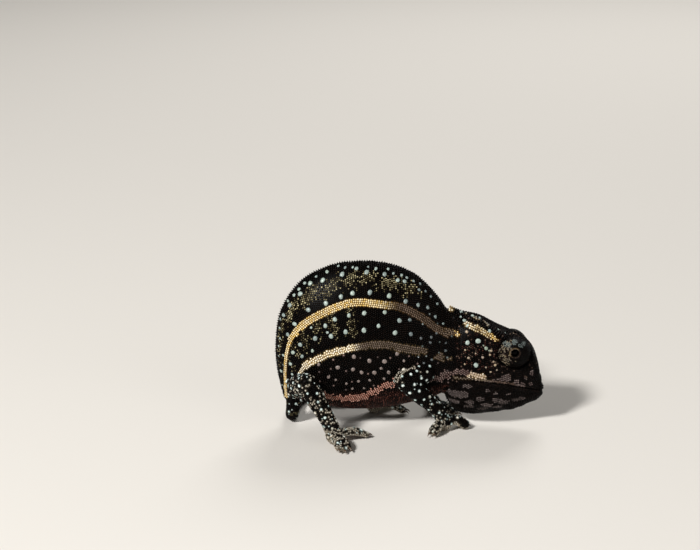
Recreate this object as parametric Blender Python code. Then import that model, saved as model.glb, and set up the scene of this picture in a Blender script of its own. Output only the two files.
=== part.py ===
"""A young jewelled chameleon at life size, hunched on four mitten feet, its tail curled on the floor.

Everything is worked out in millimetres and turned to metres at the end. +X points to the snout,
+Y to the animal's left and +Z up. The floor is at Z = 0. The animal is built about the plane Y = 0,
and moved at the end so that the box round its feet and tail is centred.
"""

import math
import random

import bmesh
import bpy
import numpy as np
from mathutils import Matrix, Vector
from mathutils.bvhtree import BVHTree

MILLIMETRE = 0.001
GAP = 0.3  # between neighbouring pieces
MIDDLE_PLANE_Y = -0.80  # where the animal's middle plane is in the end

# The trunk's outline in its middle plane, from the tail's root over the hunched back to the nape.
# Station k of the back and station k of the belly are the ends of one cross-section.
BACK_LINE = [
    (-15.75, 3.60),
    (-16.50, 7.20),
    (-16.70, 10.60),
    (-16.05, 15.00),
    (-13.60, 18.80),
    (-9.85, 20.90),
    (-6.00, 21.45),
    (-2.40, 21.10),
    (0.80, 19.75),
    (3.30, 17.30),
    (4.75, 15.25),
]
BELLY_LINE = [
    (-13.95, 3.55),
    (-12.75, 3.90),
    (-11.70, 3.30),
    (-10.30, 2.80),
    (-8.45, 2.35),
    (-6.50, 2.22),
    (-4.40, 2.30),
    (-2.30, 2.55),
    (-0.20, 2.95),
    (2.00, 3.55),
    (4.35, 4.30),
]
TRUNK_HALF_WIDTH = [0.90, 2.00, 2.90, 3.60, 4.05, 4.30, 4.40, 4.25, 3.90, 3.35, 2.80]
TRUNK_RIDGE = 1.18  # above 1 the back narrows to a ridge
TRUNK_BELLY_SHIFT = 0.26  # how far the widest level lies below the middle
TORSO_SPAN = (0.0, 9.10)  # in stations
NECK_SPAN = (9.30, 10.0)
TRUNK_RINGS = 32
NECK_RINGS = 4
TRUNK_SIDES = 26

# The jewels: flat raised scales in rows that keep one angle from the back. Each row is (angle in
# degrees, first station, last station, how many, width).
JEWEL_ROWS = [
    (25, 2.65, 8.40, 13, 0.84),
    (50, 2.95, 8.60, 11, 0.90),
    (68, 3.30, 7.90, 9, 0.90),
    (80, 3.75, 8.50, 9, 0.86),
    (104, 3.80, 8.10, 8, 0.80),
]
JEWEL_STRAY = (0.11, 2.4)  # stations along the row and degrees across it
JEWEL_SIZES = (0.85, 1.08)  # the least and the greatest, of a row's width
JEWEL_HEIGHT = 0.16
JEWEL_ROOT = 0.22  # how deep its foot is sunk
JEWEL_TOP = 0.6  # of its width
JEWEL_SIDES = 6
BOSS_FLARE = 0.4  # how much wider a boss is at its sunk foot, for each bit of depth

# The fine comb of cones along the back, the chin and the edges of the helmet.
BACK_COMB = (0.9, 9.0, 48)  # first station, last station, how many
COMB_HEIGHT = 0.22
COMB_WIDTH = 0.40
COMB_ROOT = 0.22
COMB_TOP = 0.22
COMB_END_HEIGHT = 0.6  # of the full height, at either end of the back
CONE_SIDES = 4

# The head's outline, from the back of the helmet to the snout: top, throat, and half widths at the
# helmet's side crest, the temple, the cheek and the throat.
HEAD_TOP = [
    (5.08, 15.75),
    (6.60, 15.10),
    (8.60, 14.65),
    (10.40, 13.75),
    (12.10, 12.75),
    (13.60, 12.30),
    (14.80, 11.45),
    (15.70, 10.00),
    (16.25, 8.30),
    (16.55, 6.60),
]
HEAD_THROAT = [
    (4.70, 3.75),
    (6.00, 2.15),
    (7.80, 1.72),
    (9.60, 1.77),
    (11.30, 2.02),
    (13.00, 2.45),
    (14.40, 3.05),
    (15.40, 3.65),
    (16.05, 4.10),
    (16.45, 4.65),
]
CREST_HALF_WIDTH = [0.55, 1.25, 1.95, 2.35, 2.40, 2.20, 1.90, 1.55, 1.20, 0.80]
TEMPLE_HALF_WIDTH = [2.10, 2.80, 3.15, 3.10, 2.60, 2.20, 2.00, 1.75, 1.40, 0.95]
CHEEK_HALF_WIDTH = [2.70, 3.20, 3.45, 3.40, 3.05, 2.65, 2.25, 1.80, 1.35, 0.90]
THROAT_HALF_WIDTH = [2.00, 2.35, 2.50, 2.45, 2.20, 1.85, 1.50, 1.15, 0.85, 0.55]
CREST_DROP = 0.085  # how far down the section each of these levels lies
TEMPLE_DROP = 0.36
CHEEK_DROP = 0.62
THROAT_DROP = 0.87
HEAD_RINGS = 30
HEAD_SIDE_POINTS = 15  # from the top to the throat on one side
SNOUT_TIP = [(16.66, 5.85, 0.78), (16.74, 5.80, 0.42)]  # X, Z and size of the closing rings

# The line of the mouth, from the snout to its corner, and on round the angle of the jaw.
MOUTH_LINE = [
    (17.50, 4.60),
    (16.56, 4.88),
    (15.20, 5.35),
    (12.60, 6.12),
    (10.00, 6.64),
    (7.90, 6.86),
    (6.60, 5.90),
    (4.00, 5.10),
]
LIP_SPAN = (16.35, 8.35)  # along X, from beside the snout's tip to the mouth's corner
LIP_RADIUS = 0.20
LIP_SINK = 0.45  # of its radius, into the skin
LIP_SHIFT = 0.95  # of its radius, from the cut's edge
LIP_TAPER = ([0, 0.2, 0.8, 1], [0.7, 1, 1, 0.6])  # thickness at shares of its length
LIP_POINTS = 12
LIP_SIDES = 6
NOSTRIL = (15.55, 7.85)
NOSTRIL_RADII = (0.10, 0.39)  # at the pit's end and half a millimetre outside the skin
NOSTRIL_DEPTH = 0.40
NOSTRIL_REACH = 0.50
MOUTH_CUT = (8.0, 20.0, -2.0)  # half width, highest and lowest level of the prisms that part the jaws

# Rows of blunt cones on the head, in side view, from first to last: the helmet's side edge over
# the temple, the edge from the eye to the nostril, the ridge on the helmet and the chin's comb.
SIDE_CREST = ((5.90, 14.05), (10.60, 12.20), 8)
SNOUT_CREST = ((14.75, 10.55), (15.80, 8.70), 4)
HELMET_RIDGE = (0.15, 3.30, 7)  # first and last station of the head and how many
CHIN_COMB = (1.0, 7.4, 15)
HEAD_CONE_WIDTH = 0.46
HEAD_CONE_HEIGHT = 0.20
HEAD_CONE_TOP = 0.35
RIDGE_CONE_WAY = (0.35, 0.0, 0.94)

# An eye turret: lids grown together to a cone with a small round opening, and the ball behind it.
# Each ring of the profile is (radius, distance out from the flat back, rise of its centre).
EYE_CENTRE = (13.15, 10.20)
EYE_ROOT_DEPTH = 0.85  # from the middle plane to the turret's flat back
TURRET_PROFILE = [
    (1.10, 0.00, 0.00),
    (1.58, 0.40, 0.00),
    (1.84, 1.00, 0.00),
    (1.88, 1.45, 0.03),
    (1.68, 2.05, 0.12),
    (1.26, 2.58, 0.27),
    (0.90, 2.86, 0.37),
    (0.70, 2.82, 0.40),
    (0.66, 2.02, 0.36),
]
SOCKET_RINGS = 4  # of the profile's, from the back, that the socket goes round
SOCKET_FLOOR = 0.18  # how much wider the socket's flat floor is than the turret's back
TURRET_LENGTHENING = 1.05  # along the head against up and down
TURRET_SIDES = 22
EYEBALL_RADIUS = 0.34
EYEBALL_OUT = 2.56  # from the turret's flat back to the ball's middle
EYEBALL_RISE = 0.38
EYEBALL_SIDES = 10

# A leg's joints and palm are given for the right side, whose Y is negative. The left pair stands
# further forward behind and a little further back in front.
HIND_RIGHT = {
    "root": (-14.20, -1.10, 5.40),
    "bend": (-12.75, -6.00, 7.45),
    "end": (-9.62, -7.20, 2.15),
    "palm": (-9.35, -7.40, 1.20),
    "outer": (-8.05, -11.00),
    "inner": (-5.20, -5.10),
}
HIND_LEFT = {
    "root": (-14.20, 1.10, 5.40),
    "bend": (-9.90, 5.70, 6.90),
    "end": (-4.60, 4.70, 2.15),
    "palm": (-4.25, 4.60, 1.20),
    "outer": (-2.00, 7.40),
    "inner": (-0.20, 3.70),
}
FORE_RIGHT = {
    "root": (1.90, -3.10, 7.90),
    "bend": (-0.80, -5.30, 7.60),
    "end": (4.20, -2.55, 2.30),
    "palm": (4.50, -2.40, 1.20),
    "outer": (2.90, -5.20),
    "inner": (7.20, -1.30),
}
FORE_LEFT = {
    "root": (1.90, 3.10, 7.90),
    "bend": (-1.20, 5.25, 7.20),
    "end": (3.10, 3.95, 2.25),
    "palm": (3.45, 3.95, 1.20),
    "outer": (3.40, 7.10),
    "inner": (6.40, 3.10),
}
# Half thickness at shares of the length, for the thigh, the shank and the ankle, and in front alike.
HIND_RADII = [
    [(0.0, 1.50), (0.5, 1.40), (1.0, 1.15)],
    [(0.0, 1.15), (0.4, 1.18), (0.75, 0.98), (1.0, 0.92)],
    [(0.0, 0.92), (1.0, 0.95)],
]
FORE_RADII = [
    [(0.0, 1.30), (0.5, 1.20), (1.0, 1.08)],
    [(0.0, 1.08), (0.4, 1.14), (0.75, 0.92), (1.0, 0.84)],
    [(0.0, 0.84), (1.0, 0.86)],
]
ROUND_END = [(0.62, 0.78), (0.92, 0.39)]  # (distance beyond a joint, radius), over the limb's radius
LEG_SIDES = 12

# Toes stand in two bundles, two toes in one and three in the other, each toe with its claw.
PALM_RADIUS = 1.05
TOE_SPACING = 0.62
TOE_SPREAD = (0.8, 0.35)  # of the spacing, at the palm and on top of that at the tips
TOE_SPLAY = 0.12  # how far the claws turn outwards
TOE_SHORTENING = 0.06  # of an outer toe against a middle one
TOE_RADIUS = 0.38
TOE_THICKNESS = (0.80, 0.95, 1.0, 0.86)  # of that radius, from root to knuckle
CLAW_RADIUS = 0.17
CLAW_LENGTH = 0.62
CLAW_BEND = ((0.12, 0.08), (1.0, -0.10))  # share of the length ahead and rise, at root and tip
CLAW_TIP_RADIUS = 0.05
MITTEN_THICKNESS = 0.50
MITTEN_REACH = 0.78  # of a bundle's length
MITTEN_TAPER = ([0, 0.4, MITTEN_REACH], [0.85, 1.0, 0.95])
MITTEN_SIDE = 0.85  # of a toe's radius, beyond the outer toes' middles
TOE_ROOT = 0.45
ARCH_START = 0.1  # above the palm's middle
ARCH_POWER = 1.7  # the greater, the later the toes bend down
ARCH_RISE = 0.42
TOE_SIDES = 6
SOLE_LEVEL = -0.06  # the lowest toe skin before the flats are cut at Z = 0

# The tail drops from its root, turns on the floor and winds inwards in two turns.
TAIL_ROOT = (-14.62, 0.0, 3.28)
TAIL_TURN_CENTRE = (-8.90, 9.50)
TAIL_TURN_START = math.radians(232)
TAIL_TURN_ANGLE = math.radians(720)
TAIL_START_REACH = 3.60
TAIL_END_REACH = 0.95
TAIL_SWEEP_REACH = 5.9  # how much further out the tail starts, before it swings in to the coil
TAIL_SWEEP_ANGLE = math.radians(31)  # over which that falls to a third
TAIL_ROOT_RADIUS = 0.86
TAIL_TIP_RADIUS = 0.26
TAIL_TAPER_POWER = 0.85
TAIL_TIP_TAPER = 0.45  # of the last ring
TAIL_REACH_POWER = 0.92
TAIL_LANDING = (0.05, 0.15)  # shares of the length between which it comes to lie on the floor
TAIL_SINK = 0.05  # flattens the tail where it lies on the floor
TAIL_CUTS = [0.0, 0.14, 0.28, 0.42, 0.55, 0.67, 0.79, 0.90, 1.0]
TAIL_RING_STEP = 0.72
TAIL_SIDES = 10


def catmull_rom(points, where):
    """Points on the smooth curve through the given ones, where k is the k-th of them."""
    points = np.asarray(points, float)
    if points.ndim == 1:
        points = points[:, None]
    padded = np.vstack([2 * points[0] - points[1], points, 2 * points[-1] - points[-2]])
    where = np.clip(np.asarray(where, float), 0, len(points) - 1)
    first = np.minimum(where.astype(int), len(points) - 2)
    t = (where - first)[:, None]
    before, start, end, after = (padded[first + k] for k in range(4))
    return 0.5 * (
        2 * start
        + (end - before) * t
        + (2 * before - 5 * start + 4 * end - after) * t**2
        + (3 * start - before - 3 * end + after) * t**3
    )


def material(name, colour, roughness, metallic=0.0):
    made = bpy.data.materials.new(name)
    made.use_nodes = True
    shader = made.node_tree.nodes["Principled BSDF"]
    shader.inputs["Base Color"].default_value = (*colour, 1.0)
    shader.inputs["Roughness"].default_value = roughness
    shader.inputs["Metallic"].default_value = metallic
    return made


def solid(name, points, faces, finish=None):
    """An object of one closed mesh, its faces turned outwards."""
    mesh = bpy.data.meshes.new(name)
    mesh.from_pydata([tuple(p) for p in points], [], [tuple(f) for f in faces])
    shape = bmesh.new()
    shape.from_mesh(mesh)
    bmesh.ops.recalc_face_normals(shape, faces=shape.faces)
    if shape.calc_volume(signed=True) < 0:
        bmesh.ops.reverse_faces(shape, faces=shape.faces)
    shape.to_mesh(mesh)
    shape.free()
    made = bpy.data.objects.new(name, mesh)
    bpy.context.scene.collection.objects.link(made)
    if finish:
        mesh.materials.append(finish)
    return made


def loft(name, rings, finish=None):
    """A closed skin over rings of equally many points, with a flat cap at either end."""
    count, sides = rings.shape[:2]
    faces = []
    for i in range(count - 1):
        for j in range(sides):
            a, b = i * sides + j, i * sides + (j + 1) % sides
            faces.append((a, b, b + sides, a + sides))
    faces.append(tuple(range(sides)))
    faces.append(tuple(range((count - 1) * sides, count * sides)))
    return solid(name, rings.reshape(-1, 3), faces, finish)


def apply_modifiers(thing):
    graph = bpy.context.evaluated_depsgraph_get()
    mesh = bpy.data.meshes.new_from_object(thing.evaluated_get(graph))
    thing.modifiers.clear()
    thing.data = mesh


def cut(thing, cutter, keep_cutter=False):
    """Takes the cutter's space out of the thing and keeps the largest piece that is left."""
    change = thing.modifiers.new("cut", "BOOLEAN")
    change.operation = "DIFFERENCE"
    change.object = cutter
    apply_modifiers(thing)
    keep_largest(thing)
    if not keep_cutter:
        bpy.data.objects.remove(cutter)


def fuse(thing, pieces):
    """Joins closed pieces to the thing, as one closed surface."""
    group = bpy.data.collections.new("pieces")
    bpy.context.scene.collection.children.link(group)
    for piece in pieces:
        bpy.context.scene.collection.objects.unlink(piece)
        group.objects.link(piece)
    change = thing.modifiers.new("fuse", "BOOLEAN")
    change.operation = "UNION"
    change.operand_type = "COLLECTION"
    change.collection = group
    apply_modifiers(thing)
    for piece in pieces:
        bpy.data.objects.remove(piece)
    bpy.data.collections.remove(group)
    keep_largest(thing)


def keep_largest(thing):
    """Drops every closed surface of the mesh but the one that holds the most."""
    shape = bmesh.new()
    shape.from_mesh(thing.data)
    left = set(shape.verts)
    islands = []
    while left:
        island, edge_of_search = set(), [left.pop()]
        while edge_of_search:
            corner = edge_of_search.pop()
            island.add(corner)
            for edge in corner.link_edges:
                other = edge.other_vert(corner)
                if other in left:
                    left.remove(other)
                    edge_of_search.append(other)
        islands.append(island)
    if len(islands) > 1:
        keep = max(islands, key=spread)
        loose = [corner for island in islands if island is not keep for corner in island]
        bmesh.ops.delete(shape, geom=loose, context="VERTS")
    shape.to_mesh(thing.data)
    shape.free()


def spread(corners):
    """The volume of the box round some corners."""
    places = np.array([corner.co for corner in corners])
    return float(np.prod(np.ptp(places, axis=0)))


def keep_behind(thing, point, normal):
    """Cuts the thing through a plane, drops what lies on the normal's side and closes the cut."""
    shape = bmesh.new()
    shape.from_mesh(thing.data)
    bmesh.ops.bisect_plane(
        shape,
        geom=[*shape.verts, *shape.edges, *shape.faces],
        dist=1e-5,
        plane_co=point,
        plane_no=normal,
        clear_outer=True,
    )
    bmesh.ops.holes_fill(shape, edges=[edge for edge in shape.edges if edge.is_boundary])
    bmesh.ops.recalc_face_normals(shape, faces=shape.faces)
    shape.to_mesh(thing.data)
    shape.free()
    keep_largest(thing)


def trunk_rings(stations, swell=0.0):
    """Cross-sections of the trunk at the given stations. Each is an egg shape between the back line
    and the belly line: half width times the sine of the angle from the back, to a power that makes
    the ridge, widened below the middle. Swell moves the whole skin outwards."""
    top = catmull_rom(BACK_LINE, stations)
    bottom = catmull_rom(BELLY_LINE, stations)
    width = catmull_rom(TRUNK_HALF_WIDTH, stations)[:, :1]
    angle = np.linspace(0, 2 * np.pi, TRUNK_SIDES, endpoint=False)[None, :]
    middle, half = (top + bottom) / 2, (top - bottom) / 2
    reach = np.linalg.norm(half, axis=1, keepdims=True)
    half = half * (1 + swell / reach)
    side = np.sin(angle)
    across = np.sign(side) * np.abs(side) ** TRUNK_RIDGE * (1 - TRUNK_BELLY_SHIFT * np.cos(angle))
    y = (width + swell) * across
    x = middle[:, :1] + half[:, :1] * np.cos(angle)
    z = middle[:, 1:] + half[:, 1:] * np.cos(angle)
    return np.stack([x, y, z], axis=2)


def trunk_place(station, degrees, side):
    """A point of the trunk's skin and the way out of it, at an angle down from the back."""
    angle = math.radians(degrees)

    def point(at, turn):
        top, bottom = catmull_rom(BACK_LINE, [at])[0], catmull_rom(BELLY_LINE, [at])[0]
        width = catmull_rom(TRUNK_HALF_WIDTH, [at])[0, 0]
        across = abs(math.sin(turn)) ** TRUNK_RIDGE * (1 - TRUNK_BELLY_SHIFT * math.cos(turn))
        x, z = (top + bottom) / 2 + (top - bottom) / 2 * math.cos(turn)
        return np.array([x, side * width * across, z])

    here = point(station, angle)
    along = point(station + 0.02, angle) - point(station - 0.02, angle)
    down = point(station, angle + 0.02) - point(station, angle - 0.02)
    out = np.cross(along, down) * side
    return here, out / np.linalg.norm(out)


def boss(place, out, width, height, root, sides, top_share):
    """A blunt cone that stands on a skin, its foot sunk below it."""
    out = np.asarray(out)
    path = np.array([place - out * root, place + out * height])
    radii = [(width + root * BOSS_FLARE) / 2, width / 2 * top_share]
    return loft("boss", tube_rings(path, radii, sides, up=(0.9, 0.1, 0.4)))


def jewels():
    """The rows of flat raised scales on both flanks, each a little off its row."""
    stray = random.Random(7)
    pieces = []
    for side in (-1, 1):
        for degrees, first, last, count, width in JEWEL_ROWS:
            for station in np.linspace(first, last, count):
                at = station + stray.uniform(-1, 1) * JEWEL_STRAY[0]
                turn = degrees + stray.uniform(-1, 1) * JEWEL_STRAY[1]
                size = width * stray.uniform(*JEWEL_SIZES)
                place, out = trunk_place(at, turn, side)
                pieces.append(boss(place, out, size, JEWEL_HEIGHT, JEWEL_ROOT, JEWEL_SIDES, JEWEL_TOP))
    return pieces


def back_comb():
    """Small cones in one row along the back, lowest at either end."""
    first, last, count = BACK_COMB
    pieces = []
    for k, station in enumerate(np.linspace(first, last, count)):
        share = COMB_END_HEIGHT + (1 - COMB_END_HEIGHT) * math.sin(math.pi * k / (count - 1))
        line = catmull_rom(BACK_LINE, [station - 0.05, station, station + 0.05])
        along = line[2] - line[0]
        out = np.array([-along[1], 0.0, along[0]]) / np.linalg.norm(along)
        place = np.array([line[1][0], 0.0, line[1][1]])
        height = COMB_HEIGHT * share
        pieces.append(boss(place, out, COMB_WIDTH, height, COMB_ROOT, CONE_SIDES, COMB_TOP))
    return pieces


def build_trunk(finish):
    torso = loft("torso", trunk_rings(np.linspace(*TORSO_SPAN, TRUNK_RINGS)), finish)
    fuse(torso, jewels() + back_comb())
    loft("neck", trunk_rings(np.linspace(*NECK_SPAN, NECK_RINGS)), finish)


def head_rings():
    """Cross-sections of the head: a smooth line on each side through the top, the side crest, the
    temple, the cheek, the side of the throat and its middle."""
    stations = np.linspace(0, len(HEAD_TOP) - 1, HEAD_RINGS)
    top = catmull_rom(HEAD_TOP, stations)
    bottom = catmull_rom(HEAD_THROAT, stations)
    widths = [
        catmull_rom(row, stations)[:, 0]
        for row in (CREST_HALF_WIDTH, TEMPLE_HALF_WIDTH, CHEEK_HALF_WIDTH, THROAT_HALF_WIDTH)
    ]
    drops = [0.0, CREST_DROP, TEMPLE_DROP, CHEEK_DROP, THROAT_DROP, 1.0]
    rings = []
    for k in range(len(stations)):
        profile = [(0.0, drops[0])]
        profile += [(width[k], drop) for width, drop in zip(widths, drops[1:5])]
        profile += [(0.0, drops[5])]
        line = catmull_rom(profile, np.linspace(0, len(profile) - 1, HEAD_SIDE_POINTS))
        line[:, 0] = np.maximum(line[:, 0], 0)
        right = np.column_stack([-line[:, 0], line[:, 1]])
        left = np.column_stack([line[-2:0:-1, 0], line[-2:0:-1, 1]])
        section = np.vstack([right, left])
        place = top[k] + (bottom[k] - top[k]) * section[:, 1:]
        rings.append(np.column_stack([place[:, 0], section[:, 0], place[:, 1]]))
    return np.array(rings)


def head_whole(name, finish):
    """The head before it is parted at the mouth, its snout closed by smaller and smaller rings."""
    rings = head_rings()
    last = rings[-1]
    closing = []
    for x, z, size in SNOUT_TIP:
        ring = np.array([x, 0.0, z]) + (last - last.mean(axis=0)) * size
        ring[:, 0] = x
        closing.append(ring)
    return loft(name, np.vstack([rings, np.array(closing)]), finish)


def slab(name, outline, half_width):
    """A straight prism over an outline in the middle plane, as wide as asked on either side."""
    count = len(outline)
    points = [(x, y, z) for y in (-half_width, half_width) for x, z in outline]
    faces = [tuple(range(count)), tuple(range(count, 2 * count))]
    for j in range(count):
        k = (j + 1) % count
        faces.append((j, k, count + k, count + j))
    return solid(name, points, faces)


def skin_of(thing):
    return BVHTree.FromObject(thing, bpy.context.evaluated_depsgraph_get())


def on_side(skin, x, z, side):
    """Where a line across the head, at a place in side view, meets the skin, and the way out."""
    place, out, _, _ = skin.ray_cast(Vector((x, side * 20.0, z)), Vector((0, -side, 0)))
    return np.array(place), np.array(out)


def lip(skin, shift, side):
    """A rounded welt along the mouth, its middle shifted up or down from the mouth's line."""
    line = np.array(MOUTH_LINE)
    places = []
    for x in np.linspace(*LIP_SPAN, LIP_POINTS):
        z = np.interp(x, line[::-1, 0], line[::-1, 1]) + shift
        place, out = on_side(skin, x, z, side)
        places.append(place - out * LIP_RADIUS * LIP_SINK)
    radii = LIP_RADIUS * np.interp(np.linspace(0, 1, LIP_POINTS), *LIP_TAPER)
    return loft("lip", tube_rings(np.array(places), radii, LIP_SIDES))


def head_cones(skin):
    """The blunt cones in rows along the helmet's edges and ridge."""
    pieces = []
    for side in (-1, 1):
        for first, last, count in (SIDE_CREST, SNOUT_CREST):
            for share in np.linspace(0, 1, count):
                x, z = np.array(first) + share * (np.array(last) - np.array(first))
                place, out = on_side(skin, x, z, side)
                pieces.append(head_cone(place, out))
    first, last, count = HELMET_RIDGE
    for station in np.linspace(first, last, count):
        x, z = catmull_rom(HEAD_TOP, [station])[0]
        pieces.append(head_cone(np.array([x, 0.0, z]), RIDGE_CONE_WAY))
    return pieces


def head_cone(place, out):
    return boss(place, out, HEAD_CONE_WIDTH, HEAD_CONE_HEIGHT, COMB_ROOT, CONE_SIDES + 1, HEAD_CONE_TOP)


def chin_comb():
    first, last, count = CHIN_COMB
    down = np.array([0.0, 0.0, -1.0])
    pieces = []
    for station in np.linspace(first, last, count):
        x, z = catmull_rom(HEAD_THROAT, [station])[0]
        place = np.array([x, 0.0, z])
        pieces.append(boss(place, down, COMB_WIDTH, COMB_HEIGHT, COMB_ROOT, CONE_SIDES, COMB_TOP))
    return pieces


def build_head(finish):
    """The upper head with its sockets and nostrils, and the lower jaw with the throat."""
    line = np.array(MOUTH_LINE)
    far, high, low = MOUTH_CUT
    below = [*(line + (0, GAP / 2)), (line[-1][0], low), (line[0][0], low)]
    above = [*(line - (0, GAP / 2)), (line[-1][0], high), (line[0][0], high)]
    head = head_whole("head", finish)
    jaw = head_whole("lower_jaw", finish)
    skin = skin_of(head)
    lip_shift = GAP / 2 + LIP_RADIUS * LIP_SHIFT
    cut(head, slab("below the mouth", below, far))
    cut(jaw, slab("above the mouth", above, far))
    fuse(head, [lip(skin, lip_shift, side) for side in (-1, 1)] + head_cones(skin))
    fuse(jaw, [lip(skin, -lip_shift, side) for side in (-1, 1)] + chin_comb())
    for side in (-1, 1):
        cut(head, eye_socket(side))
        cut(head, nostril(skin, side))


def turret_ring(side, radius, out, rise):
    """A ring across the eye's axis, longer along the head than it is high."""
    angle = np.linspace(0, 2 * np.pi, TURRET_SIDES, endpoint=False)
    x = EYE_CENTRE[0] + radius * TURRET_LENGTHENING * np.cos(angle)
    z = EYE_CENTRE[1] + rise + radius * np.sin(angle)
    return np.column_stack([x, np.full_like(x, side * (EYE_ROOT_DEPTH + out)), z])


def eye_socket(side):
    """A pit that leaves the gap behind and round the turret, and runs straight out of the head."""
    inner = TURRET_PROFILE[:SOCKET_RINGS]
    rings = [turret_ring(side, inner[0][0] + SOCKET_FLOOR, -GAP, 0)]
    rings += [turret_ring(side, radius + GAP, out, rise) for radius, out, rise in inner[1:]]
    widest, _, rise = inner[-1]
    rings.append(turret_ring(side, widest + GAP, 2 * widest, rise))
    return loft("socket", np.array(rings))


def nostril(skin, side):
    """A cone that leaves a small pit in the side of the snout."""
    place, out = on_side(skin, *NOSTRIL, side)
    path = np.array([place - out * NOSTRIL_DEPTH, place + out * NOSTRIL_REACH])
    return loft("nostril", tube_rings(path, NOSTRIL_RADII, TOE_SIDES))


def build_eye(side, word, skin, glass):
    """A turret turned round the eye's axis, with the ball in its opening."""
    rings = [turret_ring(side, radius, out, rise) for radius, out, rise in TURRET_PROFILE]
    loft(f"eye_turret_{word}", np.array(rings), skin)
    ball = bmesh.new()
    bmesh.ops.create_uvsphere(
        ball, u_segments=EYEBALL_SIDES, v_segments=EYEBALL_SIDES // 2 + 1, radius=EYEBALL_RADIUS
    )
    place = (
        EYE_CENTRE[0],
        side * (EYE_ROOT_DEPTH + EYEBALL_OUT),
        EYE_CENTRE[1] + EYEBALL_RISE,
    )
    bmesh.ops.translate(ball, verts=ball.verts, vec=place)
    mesh = bpy.data.meshes.new(f"eyeball_{word}")
    ball.to_mesh(mesh)
    ball.free()
    mesh.materials.append(glass)
    made = bpy.data.objects.new(f"eyeball_{word}", mesh)
    bpy.context.scene.collection.objects.link(made)


def tube_rings(path, radii, sides, flatten=1.0, up=(0, 0, 1)):
    """Rings across a path. Flatten is each ring's thickness, along its own up, over its width."""
    tangent = np.gradient(path, axis=0)
    tangent /= np.linalg.norm(tangent, axis=1, keepdims=True)
    across = np.cross(tangent[0], up)
    if np.linalg.norm(across) < 1e-6:
        across = np.cross(tangent[0], (0, 1, 0))
    across /= np.linalg.norm(across)
    angle = np.linspace(0, 2 * np.pi, sides, endpoint=False)[:, None]
    rings = []
    for centre, ahead, radius in zip(path, tangent, radii):
        across = across - ahead * (across @ ahead)
        across /= np.linalg.norm(across)
        high = np.cross(across, ahead)
        rings.append(
            centre + radius * (np.cos(angle) * across + flatten * np.sin(angle) * high)
        )
    return np.array(rings)


def bone(name, start, end, radii, sides):
    """A straight limb from joint to joint with round ends. Radii are (share of length, radius)."""
    start, end = np.asarray(start, float), np.asarray(end, float)
    length = np.linalg.norm(end - start)
    ahead = (end - start) / length
    first, last = radii[0][1], radii[-1][1]
    places = [(-out * first, size * first) for out, size in reversed(ROUND_END)]
    places += [(share * length, radius) for share, radius in radii]
    places += [(length + out * last, size * last) for out, size in ROUND_END]
    path = np.array([start + ahead * out for out, _ in places])
    return loft(name, tube_rings(path, [radius for _, radius in places], sides, up=(0.3, 0.2, 1.0)))


def copy_of(thing, name, finish):
    made = bpy.data.objects.new(name, thing.data.copy())
    bpy.context.scene.collection.objects.link(made)
    made.data.materials.clear()
    made.data.materials.append(finish)
    return made


def build_leg(word, leg, radii, names, toe_counts, body_space, finish):
    """One leg in three nodes, parted across its knee and its ankle, clear of the trunk."""
    root, bend, end, palm = (np.array(leg[key]) for key in ("root", "bend", "end", "palm"))
    whole = bone("leg", root, bend, radii[0], LEG_SIDES)
    fuse(whole, [bone("lower", bend, end, radii[1], LEG_SIDES)])
    upper_way = (bend - root) / np.linalg.norm(bend - root)
    lower_way = (end - bend) / np.linalg.norm(end - bend)
    across = (upper_way + lower_way) / np.linalg.norm(upper_way + lower_way)
    upper = copy_of(whole, f"{names[0]}_{word}", finish)
    keep_behind(upper, bend - across * GAP / 2, across)
    cut(upper, body_space, keep_cutter=True)
    lower = copy_of(whole, f"{names[1]}_{word}", finish)
    keep_behind(lower, bend + across * GAP / 2, -across)
    keep_behind(lower, end - lower_way * GAP / 2, lower_way)
    cut(lower, body_space, keep_cutter=True)
    foot = bone(f"{names[2]}_{word}", end - lower_way, palm, radii[2], LEG_SIDES)
    foot.data.materials.append(finish)
    fuse(foot, [ball_of_foot(palm)])
    keep_behind(foot, end + lower_way * GAP / 2, -lower_way)
    add_toes(foot, leg, toe_counts)
    bpy.data.objects.remove(whole)


def add_toes(foot, leg, toe_counts):
    """Adds two bundles of clawed toes to the ball of a foot and cuts the soles flat at the floor."""
    palm = np.array(leg["palm"])
    pieces = []
    for bundle, toes in zip(("outer", "inner"), toe_counts):
        pieces += toe_bundle(palm, np.array(leg[bundle]), toes)
    fuse(foot, pieces)
    keep_behind(foot, (0, 0, 0), (0, 0, -1))


def ball_of_foot(palm):
    """An egg under the ankle that reaches just through the floor, for a small flat sole."""
    shape = bmesh.new()
    bmesh.ops.create_uvsphere(shape, u_segments=LEG_SIDES, v_segments=7, radius=1.0)
    bmesh.ops.scale(shape, verts=shape.verts, vec=(PALM_RADIUS, PALM_RADIUS, palm[2] - SOLE_LEVEL))
    bmesh.ops.translate(shape, verts=shape.verts, vec=palm)
    mesh = bpy.data.meshes.new("palm")
    shape.to_mesh(mesh)
    shape.free()
    made = bpy.data.objects.new("palm", mesh)
    bpy.context.scene.collection.objects.link(made)
    return made


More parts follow.
